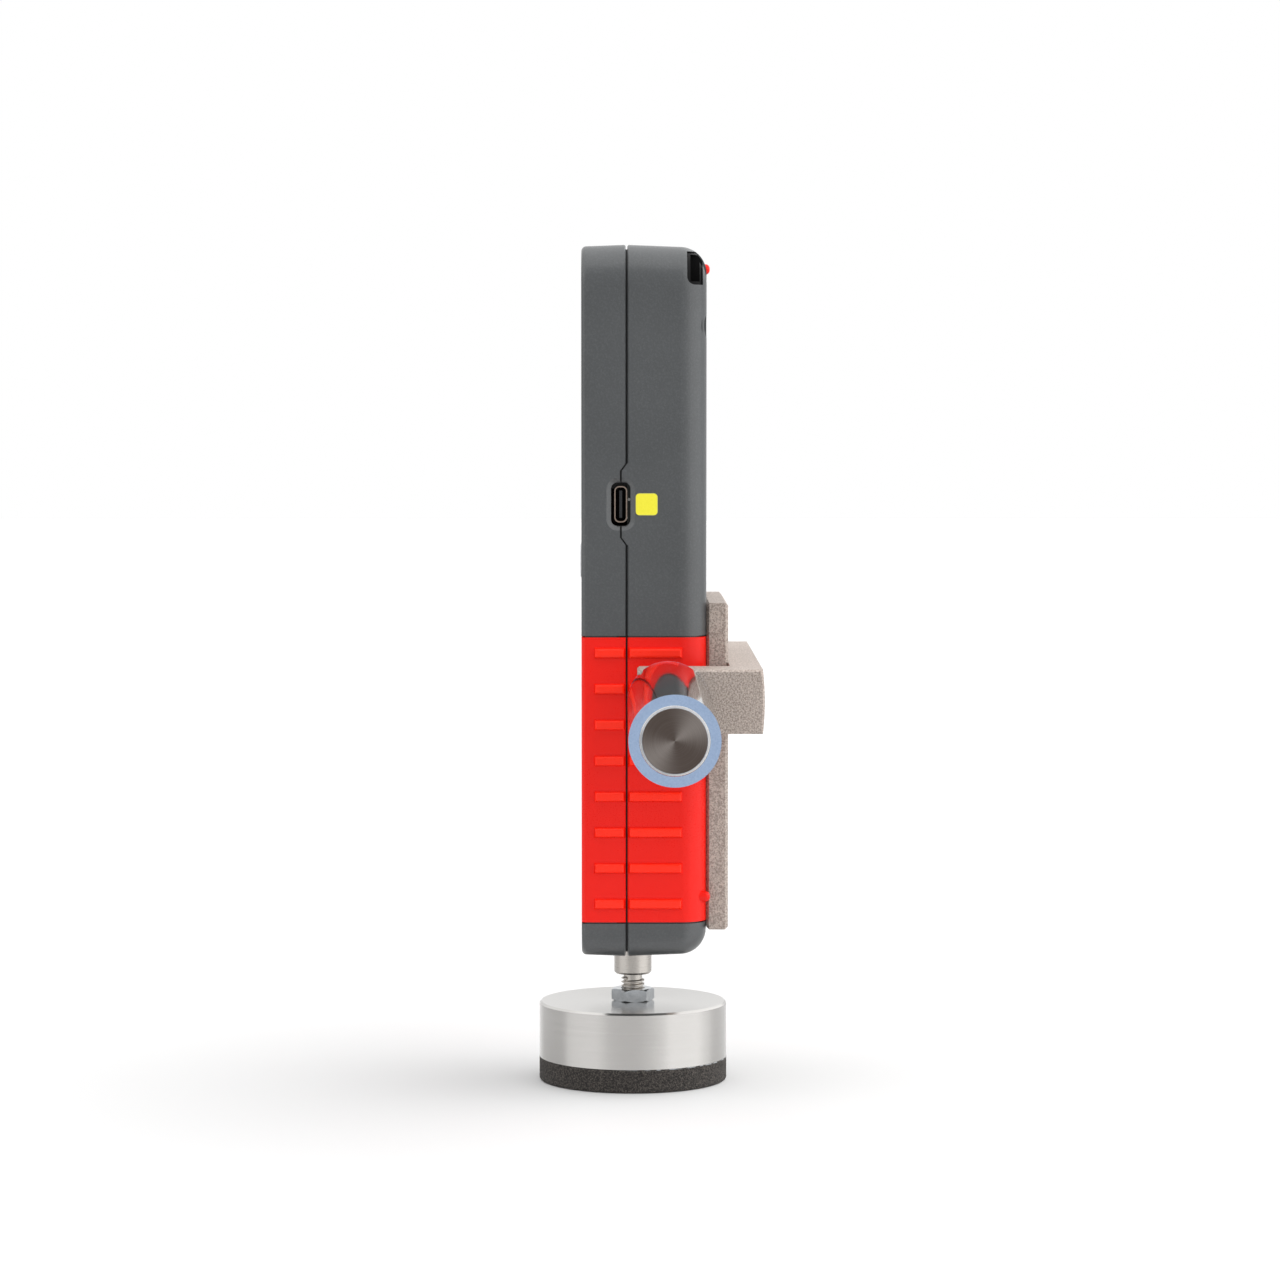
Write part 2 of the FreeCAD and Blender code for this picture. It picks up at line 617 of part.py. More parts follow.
nut_blank = hexagon("nut_blank", "Z", "0", "0", DISC_TOP, "nut_flats", "nut_height", turn=38)
nut_wide = "nut_flats + nut_height * 2 * sqrt(3)"
nut_lower = cone("nut_lower", "Z", "0", "0", DISC_TOP, "nut_flats", nut_wide, "nut_height")
nut_upper = cone("nut_upper", "Z", "0", "0", DISC_TOP, nut_wide, "nut_flats", "nut_height")
nut_form = common("nut_form", [nut_blank, nut_lower, nut_upper])
nut_hole = rod(
    "nut_hole", "Z", "0", "0", DISC_TOP, "stud_diameter + thread_clearance * 2", "nut_height",
)
lock_nut = node(cut("lock_nut", nut_form, nut_hole))

shaft_bore = f"({SHAFT_BOTTOM} + stud_engagement + 1)"
measuring_shaft = node(new_body("measuring_shaft"))
outline = new_sketch(measuring_shaft, "XZ")
polygon(outline, [
    ("stud_diameter / 2 + thread_clearance", SHAFT_BOTTOM),
    ("shaft_diameter / 2 - shaft_chamfer", SHAFT_BOTTOM),
    ("shaft_diameter / 2", f"{SHAFT_BOTTOM} + shaft_chamfer"),
    ("shaft_diameter / 2", CELL_BOTTOM),
    ("stud_diameter / 2", CELL_BOTTOM),
    ("stud_diameter / 2", f"{CELL_BOTTOM} + stud_engagement"),
    ("0", f"{CELL_BOTTOM} + stud_engagement"),
    ("0", shaft_bore),
    ("stud_diameter / 2 + thread_clearance", shaft_bore),
])
revolve(measuring_shaft, outline)

# Load cell
# An S-shaped block: a saw cut from each side leaves a sensing web with a window between them.

load_cell = node(new_body("load_cell"))
outline = new_sketch(load_cell, "XZ")
rectangle(outline, "-cell_width / 2", "cell_width / 2", CELL_BOTTOM, CELL_TOP)
pad(load_cell, outline, "cell_thickness", 0)
cell_cuts = new_sketch(load_cell, "XZ")
rectangle(
    cell_cuts, "cell_web - cell_width / 2", f"cell_width / 2 + {BEYOND}",
    f"{CELL_BOTTOM} + cell_arm", f"{CELL_BOTTOM} + cell_arm + cell_slot",
)
rectangle(
    cell_cuts, f"-cell_width / 2 - {BEYOND}", "cell_width / 2 - cell_web",
    f"{CELL_TOP} - cell_arm - cell_slot", f"{CELL_TOP} - cell_arm",
)
cell_middle = f"({CELL_BOTTOM} + cell_height / 2)"
rectangle(
    cell_cuts, "-cell_window_width / 2", "cell_window_width / 2",
    f"{cell_middle} - cell_window_height / 2", f"{cell_middle} + cell_window_height / 2",
)
pocket(load_cell, cell_cuts, "cell_thickness + 2", 0)
for level, direction in ((CELL_BOTTOM, 1), (CELL_TOP, -1)):
    thread = new_sketch(load_cell, "XY", level)
    circle(thread, "0", "0", "stud_diameter + thread_clearance * 2")
    pocket(load_cell, thread, "stud_engagement + 1", direction)

# Load frame
# An upright against the back wall, with a ledge over the load cell.

load_frame = node(new_body("load_frame"))
outline = new_sketch(load_frame, "XZ", BACK_INSIDE)
rectangle(outline, "-frame_width / 2", "frame_width / 2", "frame_bottom", "frame_top")
pad(load_frame, outline, "frame_thickness", -1)
ledge = new_sketch(load_frame, "XY", CELL_TOP)
rectangle(ledge, "-ledge_width / 2", "ledge_width / 2", "-cell_thickness / 2", BACK_INSIDE)
pad(load_frame, ledge, "ledge_thickness")
frame_holes = new_sketch(load_frame, "XZ", BACK_INSIDE)
PLATE_SCREW_SPOTS = [
    (on_side(sign, "plate_screw_side"), level)
    for sign in (-1, 1)
    for level in ("(plate_bottom + plate_screw_inset)", f"({PLATE_TOP} - plate_screw_inset)")
]
for across, level in PLATE_SCREW_SPOTS:
    circle(frame_holes, across, level, "plate_screw_diameter + thread_clearance * 2")
pocket(load_frame, frame_holes, "frame_thickness", -1)
screw_way = new_sketch(load_frame, "XY", CELL_TOP)
circle(screw_way, "0", "0", "stud_diameter + plate_hole_clearance * 2")
pocket(load_frame, screw_way, "ledge_thickness")

ledge_top = f"({CELL_TOP} + ledge_thickness)"
cell_screw_blank = joined("cell_screw_blank", [
    rod("cell_screw_head", "Z", "0", "0", ledge_top, "cap_head_diameter", "cap_head_height"),
    rod(
        "cell_screw_shank", "Z", "0", "0", f"{ledge_top} - cell_screw_length",
        "stud_diameter", "cell_screw_length + cap_head_height / 2",
    ),
])
cell_screw_socket = hexagon(
    "cell_screw_socket", "Z", "0", "0", f"{ledge_top} + cap_head_height / 2", "hex_key", "cap_head_height",
)
cell_screw = node(cut("cell_screw", cell_screw_blank, cell_screw_socket))

cell_lead = node(rod(
    "cell_lead", "Z", "-lead_side", "lead_back", CELL_TOP, "lead_diameter", f"board_bottom - {CELL_TOP}",
))
cell_plug = node(block(
    "cell_plug", "-lead_side - plug_width / 2", "plug_width / 2 - lead_side",
    BOARD_BACK, f"{BOARD_BACK} + plug_depth", "board_bottom", "board_bottom + plug_height",
))

# Housing shells
# Both are drafted towards the parting line, where they leave an open groove.

SCREW_SPOTS = [
    (on_side(sign, side), level)
    for sign in (-1, 1)
    for side, level in (("boss_low_side", "boss_low_level"), ("boss_high_side", "boss_high_level"))
]
POST_SPOTS = [(on_side(sign, "post_side"), level) for sign in (-1, 1) for level in ("post_low", "post_high")]
FOOT_SPOTS = [(on_side(sign, "foot_high_side"), "foot_high") for sign in (-1, 1)]
LOW_FOOT_SPOTS = [(on_side(sign, "foot_low_side"), "foot_low") for sign in (-1, 1)]


EYELET_TOP = "(eyelet_bottom + eyelet_height)"
EYELET_FLOOR = f"({SIDE} - eyelet_depth + eyelet_wall)"
EYELET_OUTLINE = [
    ("eyelet_forward + eyelet_radius", "eyelet_bottom"),
    ("eyelet_back", "eyelet_bottom"),
    ("eyelet_back", EYELET_TOP),
    ("eyelet_forward", EYELET_TOP),
    ("eyelet_forward", "eyelet_bottom + eyelet_radius"),
]


def shell_form(body, rim, face, drop, edge_radius, inset="0"):
    """The solid outside of one shell, rounded all round; inset draws the back shell's form in."""
    side_view = new_sketch(body, "YZ")
    face = f"({face} - {inset})"
    polygon(side_view, [
        (rim, f"{SHELL_BOTTOM} + {inset}"),
        (face, f"{SHELL_BOTTOM} + {drop} + {inset}"),
        (face, f"{SHELL_TOP} - {drop} - {inset}"),
        (rim, f"{SHELL_TOP} - {inset}"),
    ])
    pad(body, side_view, f"shell_width - {inset} * 2", 0)
    side = number(f"{SIDE} - {inset}")
    dress("Fillet", body, f"outline_radius - {inset}",
          lambda edge: at(abs(edge.CenterOfMass.x), side) and spans(edge, "Y", "XZ"))
    face_level = number(face)
    dress("Fillet", body, f"{edge_radius} - {inset}", lambda edge: lies_at(edge, "Y", face_level))
    rim_level = number(rim)
    dress("Chamfer", body, "rim_bevel", lambda edge: lies_at(edge, "Y", rim_level))


def hollow(body, rim, inside, drop):
    """Takes out the inside of one shell, an even wall within its form."""
    ends = []
    for level, height in ((rim, "(shell_height - wall * 2)"), (inside, f"(shell_height - wall * 2 - {drop} * 2)")):
        sketch = new_sketch(body, "XZ", level)
        rounded_rectangle(sketch, "0", SHELL_MIDDLE, "(shell_width - wall * 2)", height, "(outline_radius - wall)")
        ends.append(sketch)
    loft_cut(body, *ends)


def sink_grips(body, rim, face, direction, inner_radius):
    """Recesses on both sides for the soft grips; direction is 1 for the back shell, -1 for the front."""
    face_in = f"({face} - {direction} * grip_thickness)"
    face_out = f"({face} + {direction} * {BEYOND})"
    side_in = f"({SIDE} - grip_thickness)"
    for sign in (-1, 1):
        corners = [
            (on_side(sign, side_in), rim),
            (on_side(sign, side_in), f"{face_in} - {direction} * {inner_radius}"),
            (on_side(sign, f"{side_in} - {inner_radius}"), face_in),
            (on_side(sign, "grip_wrap"), face_in),
            (on_side(sign, "grip_wrap"), face_out),
            (on_side(sign, f"{SIDE} + {BEYOND}"), face_out),
            (on_side(sign, f"{SIDE} + {BEYOND}"), rim),
        ]
        section = new_sketch(body, "XY", "grip_bottom")
        polygon(section, corners, {1: (inner_radius, sign * direction)})
        pocket(body, section, "grip_height")


def bore(body, plane, level, spots, diameter, depth, direction):
    sketch = new_sketch(body, plane, level)
    for across, up in spots:
        circle(sketch, across, up, diameter)
    pocket(body, sketch, depth, direction)


def raise_posts(body, level, spots, diameter, length, direction):
    sketch = new_sketch(body, "XZ", level)
    for across, up in spots:
        circle(sketch, across, up, diameter)
    pad(body, sketch, length, direction)


def open_socket(body):
    """The opening round the socket in the right wall, with its dished rim."""
    opening = new_sketch(body, "YZ", SIDE)
    rounded_rectangle(
        opening, "-usb_forward", "usb_height", "recess_thickness", "recess_width", "recess_radius",
    )
    pocket(body, opening, "wall + 0.5", -1)
    outer = new_sketch(body, "YZ", SIDE)
    rounded_rectangle(
        outer, "-usb_forward", "usb_height", "(recess_thickness + flare_reach * 2)",
        "(recess_width + flare_reach * 2)", "(recess_radius + flare_reach)",
    )
    inner = new_sketch(body, "YZ", f"{SIDE} - flare_depth")
    rounded_rectangle(
        inner, "-usb_forward", "usb_height", "recess_thickness", "recess_width", "recess_radius",
    )
    loft_cut(body, outer, inner)


def step_outline(rim, base):
    """The step of the parting line beside the socket, seen from the right."""
    return [
        (base, "usb_height - jog_outer"),
        (rim, "usb_height - jog_outer"),
        (f"{rim} - jog_depth", "usb_height - jog_inner"),
        (f"{rim} - jog_depth", "usb_height + jog_inner"),
        (rim, "usb_height + jog_outer"),
        (base, "usb_height + jog_outer"),
    ]


back_shell = node(new_body("back_shell"))
shell_form(back_shell, BACK_RIM, "shell_back", "back_end_drop", "back_edge_radius")
lip = new_sketch(back_shell, "XZ", BACK_RIM)
rounded_rectangle(
    lip, "0", SHELL_MIDDLE, "(shell_width - wall)", "(shell_height - wall)", "(outline_radius - wall / 2)",
)
pad(back_shell, lip, "lip_height", -1)
step = new_sketch(back_shell, "YZ", f"{SIDE} - wall")
polygon(step, step_outline(BACK_RIM, f"({BACK_RIM} + rim_bevel * 2)"))
pad(back_shell, step, "wall")
lip_inside = new_sketch(back_shell, "XZ", BACK_RIM)
rounded_rectangle(
    lip_inside, "0", SHELL_MIDDLE, "(shell_width - wall * 2)", "(shell_height - wall * 2)", "(outline_radius - wall)",
)
pocket(back_shell, lip_inside, "lip_height", -1)
hollow(back_shell, BACK_RIM, BACK_INSIDE, "back_end_drop")
inside_level = number(BACK_INSIDE)
dress("Fillet", back_shell, "back_edge_radius - wall", lambda edge: lies_at(edge, "Y", inside_level))
sink_grips(back_shell, BACK_RIM, "shell_back", 1, "(back_edge_radius - grip_thickness)")
raise_posts(
    back_shell, f"{BACK_INSIDE} + wall / 2", SCREW_SPOTS, "back_boss_diameter",
    f"{BACK_INSIDE} + wall / 2 - {BACK_RIM}", -1,
)
raise_posts(
    back_shell, f"{BACK_INSIDE} + wall / 2", POST_SPOTS, "post_diameter",
    f"{BACK_INSIDE} + wall / 2 - {BOARD_BACK}", -1,
)
bore(
    back_shell, "XZ", "shell_back", SCREW_SPOTS, "shell_screw_diameter + shell_screw_hole * 2",
    f"shell_back - {BACK_RIM}", -1,
)
bore(
    back_shell, "XZ", "shell_back", SCREW_SPOTS, "shell_screw_head + head_clearance * 2",
    "shell_screw_sink", -1,
)
bore(
    back_shell, "XZ", BOARD_BACK, POST_SPOTS, "board_screw_diameter + thread_clearance * 2",
    "board_screw_length - board_thickness + 1", 1,
)
bore(
    back_shell, "XZ", "shell_back", PLATE_SCREW_SPOTS, "plate_screw_diameter + plate_hole_clearance * 2",
    "wall", -1,
)
bore(back_shell, "XZ", "shell_back", FOOT_SPOTS, "foot_diameter", "foot_sunk", -1)
bore(
    back_shell, "XZ", "shell_back", LOW_FOOT_SPOTS, "foot_diameter + foot_clearance * 2",
    "foot_low_sunk + foot_clearance", -1,
)
bore(
    back_shell, "XY", SHELL_BOTTOM, [("0", "0")], "shaft_diameter + shaft_clearance * 2", "wall + 1", 1,
)
open_socket(back_shell)
for sign in (-1, 1):
    notch = new_sketch(back_shell, "YZ", on_side(sign, f"{SIDE} + {BEYOND}"))
    polygon(notch, EYELET_OUTLINE, {4: ("eyelet_radius", 1)})
    pocket(back_shell, notch, f"eyelet_depth + {BEYOND}", -sign)
slots = new_sketch(back_shell, "XZ", "shell_back")
for sign in (-1, 1):
    near, far = on_side(sign, EYELET_FLOOR), on_side(sign, f"{EYELET_FLOOR} + eyelet_slot")
    rectangle(slots, near, far, "eyelet_bottom + eyelet_wall", f"{EYELET_TOP} - eyelet_wall")
pocket(back_shell, slots, "shell_back - eyelet_back", -1)

front_shell = node(new_body("front_shell"))
shell_form(front_shell, FRONT_RIM, FRONT_FACE, "front_end_drop", "front_edge_radius")
hollow(front_shell, FRONT_RIM, FRONT_INSIDE, "front_end_drop")
rebate = new_sketch(front_shell, "XZ", FRONT_RIM)
rounded_rectangle(
    rebate, "0", SHELL_MIDDLE, "(shell_width - wall + lip_clearance * 2)",
    "(shell_height - wall + lip_clearance * 2)", "(outline_radius - wall / 2 + lip_clearance)",
)
pocket(front_shell, rebate, "lip_height - parting_gap + lip_end_gap", -1)
step = new_sketch(front_shell, "YZ", f"{SIDE} - wall")
polygon(step, step_outline(FRONT_RIM, f"({FRONT_RIM} + 1)"))
pocket(front_shell, step, "wall + 1")
sink_grips(front_shell, FRONT_RIM, FRONT_FACE, -1, "(front_edge_radius - grip_thickness)")
raise_posts(
    front_shell, f"{FRONT_INSIDE} - wall / 2", SCREW_SPOTS, "front_boss_diameter",
    f"{FRONT_RIM} - {FRONT_INSIDE} + wall / 2", 1,
)
bore(
    front_shell, "XZ", FRONT_RIM, SCREW_SPOTS, "shell_screw_diameter + thread_clearance * 2",
    "shell_screw_bite + 0.5", -1,
)
bore(
    front_shell, "XY", SHELL_BOTTOM, [("0", "0")], "shaft_diameter + shaft_clearance * 2", "wall + 1", 1,
)
open_socket(front_shell)
window_middle = "(window_bottom + window_height / 2)"
window_seat = new_sketch(front_shell, "XZ", FRONT_FACE)
rounded_rectangle(
    window_seat, "0", window_middle, "(window_width + window_clearance * 2)",
    "(window_height + window_clearance * 2)", "(window_radius + window_clearance)",
)
pocket(front_shell, window_seat, "window_thickness", 1)
window_opening = new_sketch(front_shell, "XZ", FRONT_FACE)
rounded_rectangle(
    window_opening, "0", window_middle, "(window_width - window_ledge * 2)",
    "(window_height - window_ledge * 2)", "(window_radius / 2)",
)
pocket(front_shell, window_opening, "wall", 1)

KEY_SPOTS = [f"(key_pitch * ({index} - (key_count - 1) / 2))" for index in range(int(number("key_count")))]
key_holes = new_sketch(front_shell, "XZ", FRONT_FACE)
for across in KEY_SPOTS:
    rounded_rectangle(
        key_holes, across, "key_level", "(key_width + key_clearance * 2)",
        "(key_height + key_clearance * 2)", "(key_radius + key_clearance)",
    )
pocket(front_shell, key_holes, "wall", 1)

# Soft grips
# Each fills the recess of its shell, flush with it, with ribs that stand proud.

def round_foot(body, across, level, sunk="foot_sunk"):
    """A small round foot with a domed end, on the back face."""
    stem = new_sketch(body, "XZ", f"shell_back - {sunk}")
    circle(stem, across, level, "foot_diameter")
    pad(body, stem, f"{sunk} + foot_proud", 1)
    tip = number("shell_back + foot_proud")
    dress("Fillet", body, "foot_diameter * 0.4", lambda edge: lies_at(edge, "Y", tip))


def soft_grip(label, rim, face, direction, edge_radius, rib_end):
    """The right-hand grip of one shell; direction is 1 for the back shell and -1 for the front."""
    body = new_body(label)
    face_in = f"({face} - {direction} * grip_thickness)"
    side_in = f"({SIDE} - grip_thickness)"
    inner_radius = f"({edge_radius} - grip_thickness)"
    section = new_sketch(body, "XY", "grip_bottom + grip_gap")
    corners = [
        (side_in, rim),
        (side_in, f"{face_in} - {direction} * {inner_radius}"),
        (f"{side_in} - {inner_radius}", face_in),
        ("grip_wrap + grip_gap", face_in),
        ("grip_wrap + grip_gap", face),
        (f"{SIDE} - {edge_radius}", face),
        (SIDE, f"{face} - {direction} * {edge_radius}"),
        (SIDE, rim),
    ]
    polygon(section, corners, {1: (inner_radius, direction), 5: (edge_radius, -direction)})
    pad(body, section, "grip_height - grip_gap * 2")
    side, rim_level = number(SIDE), number(rim)
    dress("Chamfer", body, "rim_bevel", lambda edge: lies_at(edge, "X", side) and lies_at(edge, "Y", rim_level))
    rib_base = new_sketch(body, "YZ", f"{SIDE} - grip_thickness / 2")
    near_end, far_end = sorted(((rim, number(rim)), (rib_end, number(rib_end))), key=lambda end: end[1])
    rectangle(rib_base, near_end[0], far_end[0], "rib_first - rib_height / 2", "rib_first + rib_height / 2")
    rib = pad(body, rib_base, "rib_proud + grip_thickness / 2", 1, "-rib_slope")
    pattern = body.newObject("PartDesign::LinearPattern", f"{label}_Ribs")
    pattern.Originals = [rib]
    height_axis = next(f for f in body.Origin.OriginFeatures if f.Role == "Z_Axis")
    pattern.Direction = (height_axis, [""])
    bind(pattern, "Length", "rib_pitch * (rib_count - 1)")
    bind(pattern, "Occurrences", "rib_count")
    body.Tip = pattern
    doc.recompute()
    crest = number(f"{SIDE} + rib_proud")
    dress("Fillet", body, "rib_round", lambda edge: lies_at(edge, "X", crest))
    return body


back_grip = node(soft_grip(
    "back_grip_right", BACK_RIM, "shell_back", 1, "back_edge_radius", "rib_back",
))
round_foot(back_grip, "foot_low_side", "foot_low", "foot_low_sunk")
node(mirrored("back_grip_left", back_grip))
front_grip = node(soft_grip(
    "front_grip_right", FRONT_RIM, FRONT_FACE, -1, "front_edge_radius", "(-rib_front)",
))
node(mirrored("front_grip_left", front_grip))

# Display
# The window is flush with the front face; the panel lies behind it on its carrier.

display_window = node(new_body("display_window"))
outline = new_sketch(display_window, "XZ", FRONT_FACE)
rounded_rectangle(outline, "0", window_middle, "window_width", "window_height", "window_radius")
pad(display_window, outline, "window_thickness", 1)

window_top = "(window_bottom + window_height)"
display_panel = node(block(
    "display_panel", "-window_width / 2", "window_width / 2",
    FRONT_INSIDE, PANEL_BACK, "window_bottom", window_top,
))
carrier_blank = block(
    "carrier_blank", "-window_width / 2", "window_width / 2",
    PANEL_BACK, BOARD_FRONT, "window_bottom", window_top,
)
carrier_hollow = block(
    "carrier_hollow", "carrier_wall - window_width / 2", "window_width / 2 - carrier_wall",
    PANEL_BACK, BOARD_FRONT, "window_bottom + carrier_wall", f"{window_top} - carrier_wall",
)
display_carrier = node(cut("display_carrier", carrier_blank, carrier_hollow))

# Main board
# A tab on the right carries the socket.

main_board = node(new_body("main_board"))
outline = new_sketch(main_board, "XZ", BOARD_FRONT)
polygon(outline, [
    ("-board_width / 2", "board_bottom"),
    ("board_width / 2", "board_bottom"),
    ("board_width / 2", "usb_height - board_tab_height / 2"),
    ("board_tab_reach", "usb_height - board_tab_height / 2"),
    ("board_tab_reach", "usb_height + board_tab_height / 2"),
    ("board_width / 2", "usb_height + board_tab_height / 2"),
    ("board_width / 2", "board_top"),
    ("-board_width / 2", "board_top"),
])
pad(main_board, outline, "board_thickness", 1)
bore(
    main_board, "XZ", BOARD_FRONT, POST_SPOTS, "board_screw_diameter + shell_screw_hole * 2",
    "board_thickness", 1,
)

board_screws = []
for index, (across, level) in enumerate(POST_SPOTS, start=1):
    head = rod(
        f"board_screw_head_{index}", "Y", across, f"{BOARD_FRONT} - board_screw_head_height", level,
        "board_screw_head", "board_screw_head_height",
    )
    shank = rod(
        f"board_screw_shank_{index}", "Y", across, f"{BOARD_FRONT} - board_screw_head_height / 2", level,
        "board_screw_diameter", "board_screw_length + board_screw_head_height / 2",
    )
    board_screws.append(joined(f"board_screw_{index}", [head, shank]))
node(group("board_screws", board_screws))

battery_pack = node(block(
    "battery_pack", "-battery_width / 2", "battery_width / 2",
    f"{BACK_INSIDE} - battery_thickness", BACK_INSIDE, "battery_bottom", "battery_bottom + battery_height",
))
battery_contacts = node(block(
    "battery_contacts", "-contact_width / 2", "contact_width / 2",
    BOARD_BACK, f"{BACK_INSIDE} - battery_thickness", "battery_bottom", "battery_bottom + contact_height",
))

# Socket
# A stadium of bent sheet round a flat contact tongue, soldered to the front of the board.

usb_shell = node(new_body("usb_shell"))
mouth = f"({SIDE} - usb_inset)"
outline = new_sketch(usb_shell, "YZ", mouth)
rounded_rectangle(outline, "-usb_forward", "usb_height", "usb_thickness", "usb_width", "(usb_thickness / 2.5)")
pad(usb_shell, outline, "usb_depth", -1)
inside = new_sketch(usb_shell, "YZ", mouth)
rounded_rectangle(
    inside, "-usb_forward", "usb_height", "(usb_thickness - usb_wall * 2)", "(usb_width - usb_wall * 2)",
    "(usb_thickness / 2.5 - usb_wall)",
)
pocket(usb_shell, inside, "usb_depth - usb_wall * 3", -1)

usb_tongue = node(block(
    "usb_tongue", f"{mouth} - usb_depth + usb_wall * 3", f"{mouth} - tongue_inset",
    "-usb_forward - tongue_thickness / 2", "tongue_thickness / 2 - usb_forward",
    "usb_height - tongue_width / 2", "usb_height + tongue_width / 2",
))

yellow_tag = node(new_body("yellow_tag"))
outline = new_sketch(yellow_tag, "YZ", SIDE)
rounded_rectangle(outline, "tag_back", "usb_height", "tag_size", "tag_size", "tag_radius")
pad(yellow_tag, outline, "tag_film")

# Keys
# A key is held by its flange behind the front shell and presses the plunger of its switch.

KEY_NAMES = ["power_key", "zero_key", "peak_key", "unit_key"]
plunger_tip = f"({SWITCH_FRONT} - plunger_proud)"
for name, across in zip(KEY_NAMES, KEY_SPOTS):
    key = node(new_body(name))
    cap = new_sketch(key, "XZ", f"{FRONT_FACE} - key_proud")
    rounded_rectangle(cap, across, "key_level", "key_width", "key_height", "key_radius")
    pad(key, cap, "key_proud + wall + key_rest_gap", 1)
    flange = new_sketch(key, "XZ", KEY_SEAT)
    rounded_rectangle(
        flange, across, "key_level", "(key_width + key_flange * 2)", "(key_height + key_flange * 2)",
        "(key_radius + key_flange)",
    )
    pad(key, flange, "key_flange_thickness", 1)
    stem = new_sketch(key, "XZ", f"{KEY_SEAT} + key_flange_thickness")
    circle(stem, across, "key_level", "key_stem")
    pad(key, stem, f"{plunger_tip} - {KEY_SEAT} - key_flange_thickness", 1)

    node(rod(
        f"{name}_plunger", "Y", across, plunger_tip, "key_level", "plunger_diameter",
        "plunger_proud + plunger_sunk",
    ))
    switch_blank = block(
        f"{name}_switch_blank", f"{across} - switch_size / 2", f"{across} + switch_size / 2",
        SWITCH_FRONT, BOARD_FRONT, "key_level - switch_size / 2", "key_level + switch_size / 2",
    )
    switch_well = rod(
        f"{name}_switch_well", "Y", across, SWITCH_FRONT, "key_level",
        "plunger_diameter + plunger_clearance * 2", "switch_well",
    )
    node(cut(f"{name}_switch", switch_blank, switch_well))

# Housing screws, rear feet and strap eyelets

shell_screws = []
screw_tip = f"({FRONT_RIM} - shell_screw_bite)"
for index, (across, level) in enumerate(SCREW_SPOTS, start=1):
    head = rod(
        f"shell_screw_head_{index}", "Y", across, SHELL_SCREW_SEAT, level,
        "shell_screw_head", "shell_screw_head_height",
    )
    shank = rod(
        f"shell_screw_shank_{index}", "Y", across, screw_tip, level, "shell_screw_diameter",
        f"{SHELL_SCREW_SEAT} - {screw_tip} + shell_screw_head_height / 2",
    )
    socket = hexagon(
        f"shell_screw_socket_{index}", "Y", across, f"{SHELL_SCREW_SEAT} + shell_screw_head_height / 2",
        level, "small_hex_key * 2 / 3", "shell_screw_head_height",
    )
    shell_screws.append(cut(f"shell_screw_{index}", joined(f"shell_screw_blank_{index}", [head, shank]), socket))
node(group("housing_screws", shell_screws))

for name, (across, level) in zip(("rear_foot_left", "rear_foot_right"), FOOT_SPOTS):
    foot = node(new_body(name))
    round_foot(foot, across, level)

eyelet_blank = new_body("eyelet_blank")
outline = new_sketch(eyelet_blank, "YZ", f"{SIDE} - eyelet_depth")
polygon(outline, EYELET_OUTLINE, {4: ("eyelet_radius", 1)})
pad(eyelet_blank, outline, "eyelet_depth")
eyelet_limit = new_body("eyelet_limit")
shell_form(eyelet_limit, BACK_RIM, "shell_back", "back_end_drop", "back_edge_radius", "eyelet_inset")
eyelet_form = common("eyelet_form", [eyelet_blank, eyelet_limit])
eyelet_hollow = block(
    "eyelet_hollow", EYELET_FLOOR, f"{SIDE} + {BEYOND}",
    "eyelet_forward + eyelet_wall", "eyelet_back - eyelet_wall",
    "eyelet_bottom + eyelet_wall", f"{EYELET_TOP} - eyelet_wall",
)
eyelet_slot = block(
    "eyelet_slot", EYELET_FLOOR, f"{EYELET_FLOOR} + eyelet_slot",
    "eyelet_forward + eyelet_wall", "shell_back",
    "eyelet_bottom + eyelet_wall", f"{EYELET_TOP} - eyelet_wall",
)
strap_eyelet = node(cut("strap_eyelet_right", eyelet_form, joined("eyelet_way", [eyelet_hollow, eyelet_slot])))
node(mirrored("strap_eyelet_left", strap_eyelet))

# Mounting plate
# It lies on the back face; countersunk screws reach through the shell into the load frame.

mounting_plate = node(new_body("mounting_plate"))
outline = new_sketch(mounting_plate, "XZ", "shell_back")
rectangle(outline, "-plate_width / 2", "plate_width / 2", "plate_bottom", PLATE_TOP)
pad(mounting_plate, outline, "plate_thickness", 1)
plate_faces = (number("shell_back"), number(PLATE_BACK))
dress("Chamfer", mounting_plate, "plate_bevel", lambda edge: any(lies_at(edge, "Y", level) for level in plate_faces))
bore(
    mounting_plate, "XZ", PLATE_BACK, PLATE_SCREW_SPOTS, "plate_screw_diameter + plate_hole_clearance * 2",
    "plate_thickness", -1,
)
for across, level in PLATE_SCREW_SPOTS:
    sink = new_sketch(mounting_plate, "XZ", PLATE_BACK)
    circle(sink, across, level, "plate_screw_head")
    narrow = new_sketch(mounting_plate, "XZ", f"{PLATE_BACK} - plate_screw_sink")
    circle(narrow, across, level, "plate_screw_diameter")
    loft_cut(mounting_plate, sink, narrow)
BRACKET_SCREW_SPOTS = [(on_side(sign, "bracket_screw_side"), "bracket_level") for sign in (-1, 1)]
bore(
    mounting_plate, "XZ", PLATE_BACK, BRACKET_SCREW_SPOTS,
    "bracket_screw_diameter + thread_clearance * 2", "plate_thickness", -1,
)

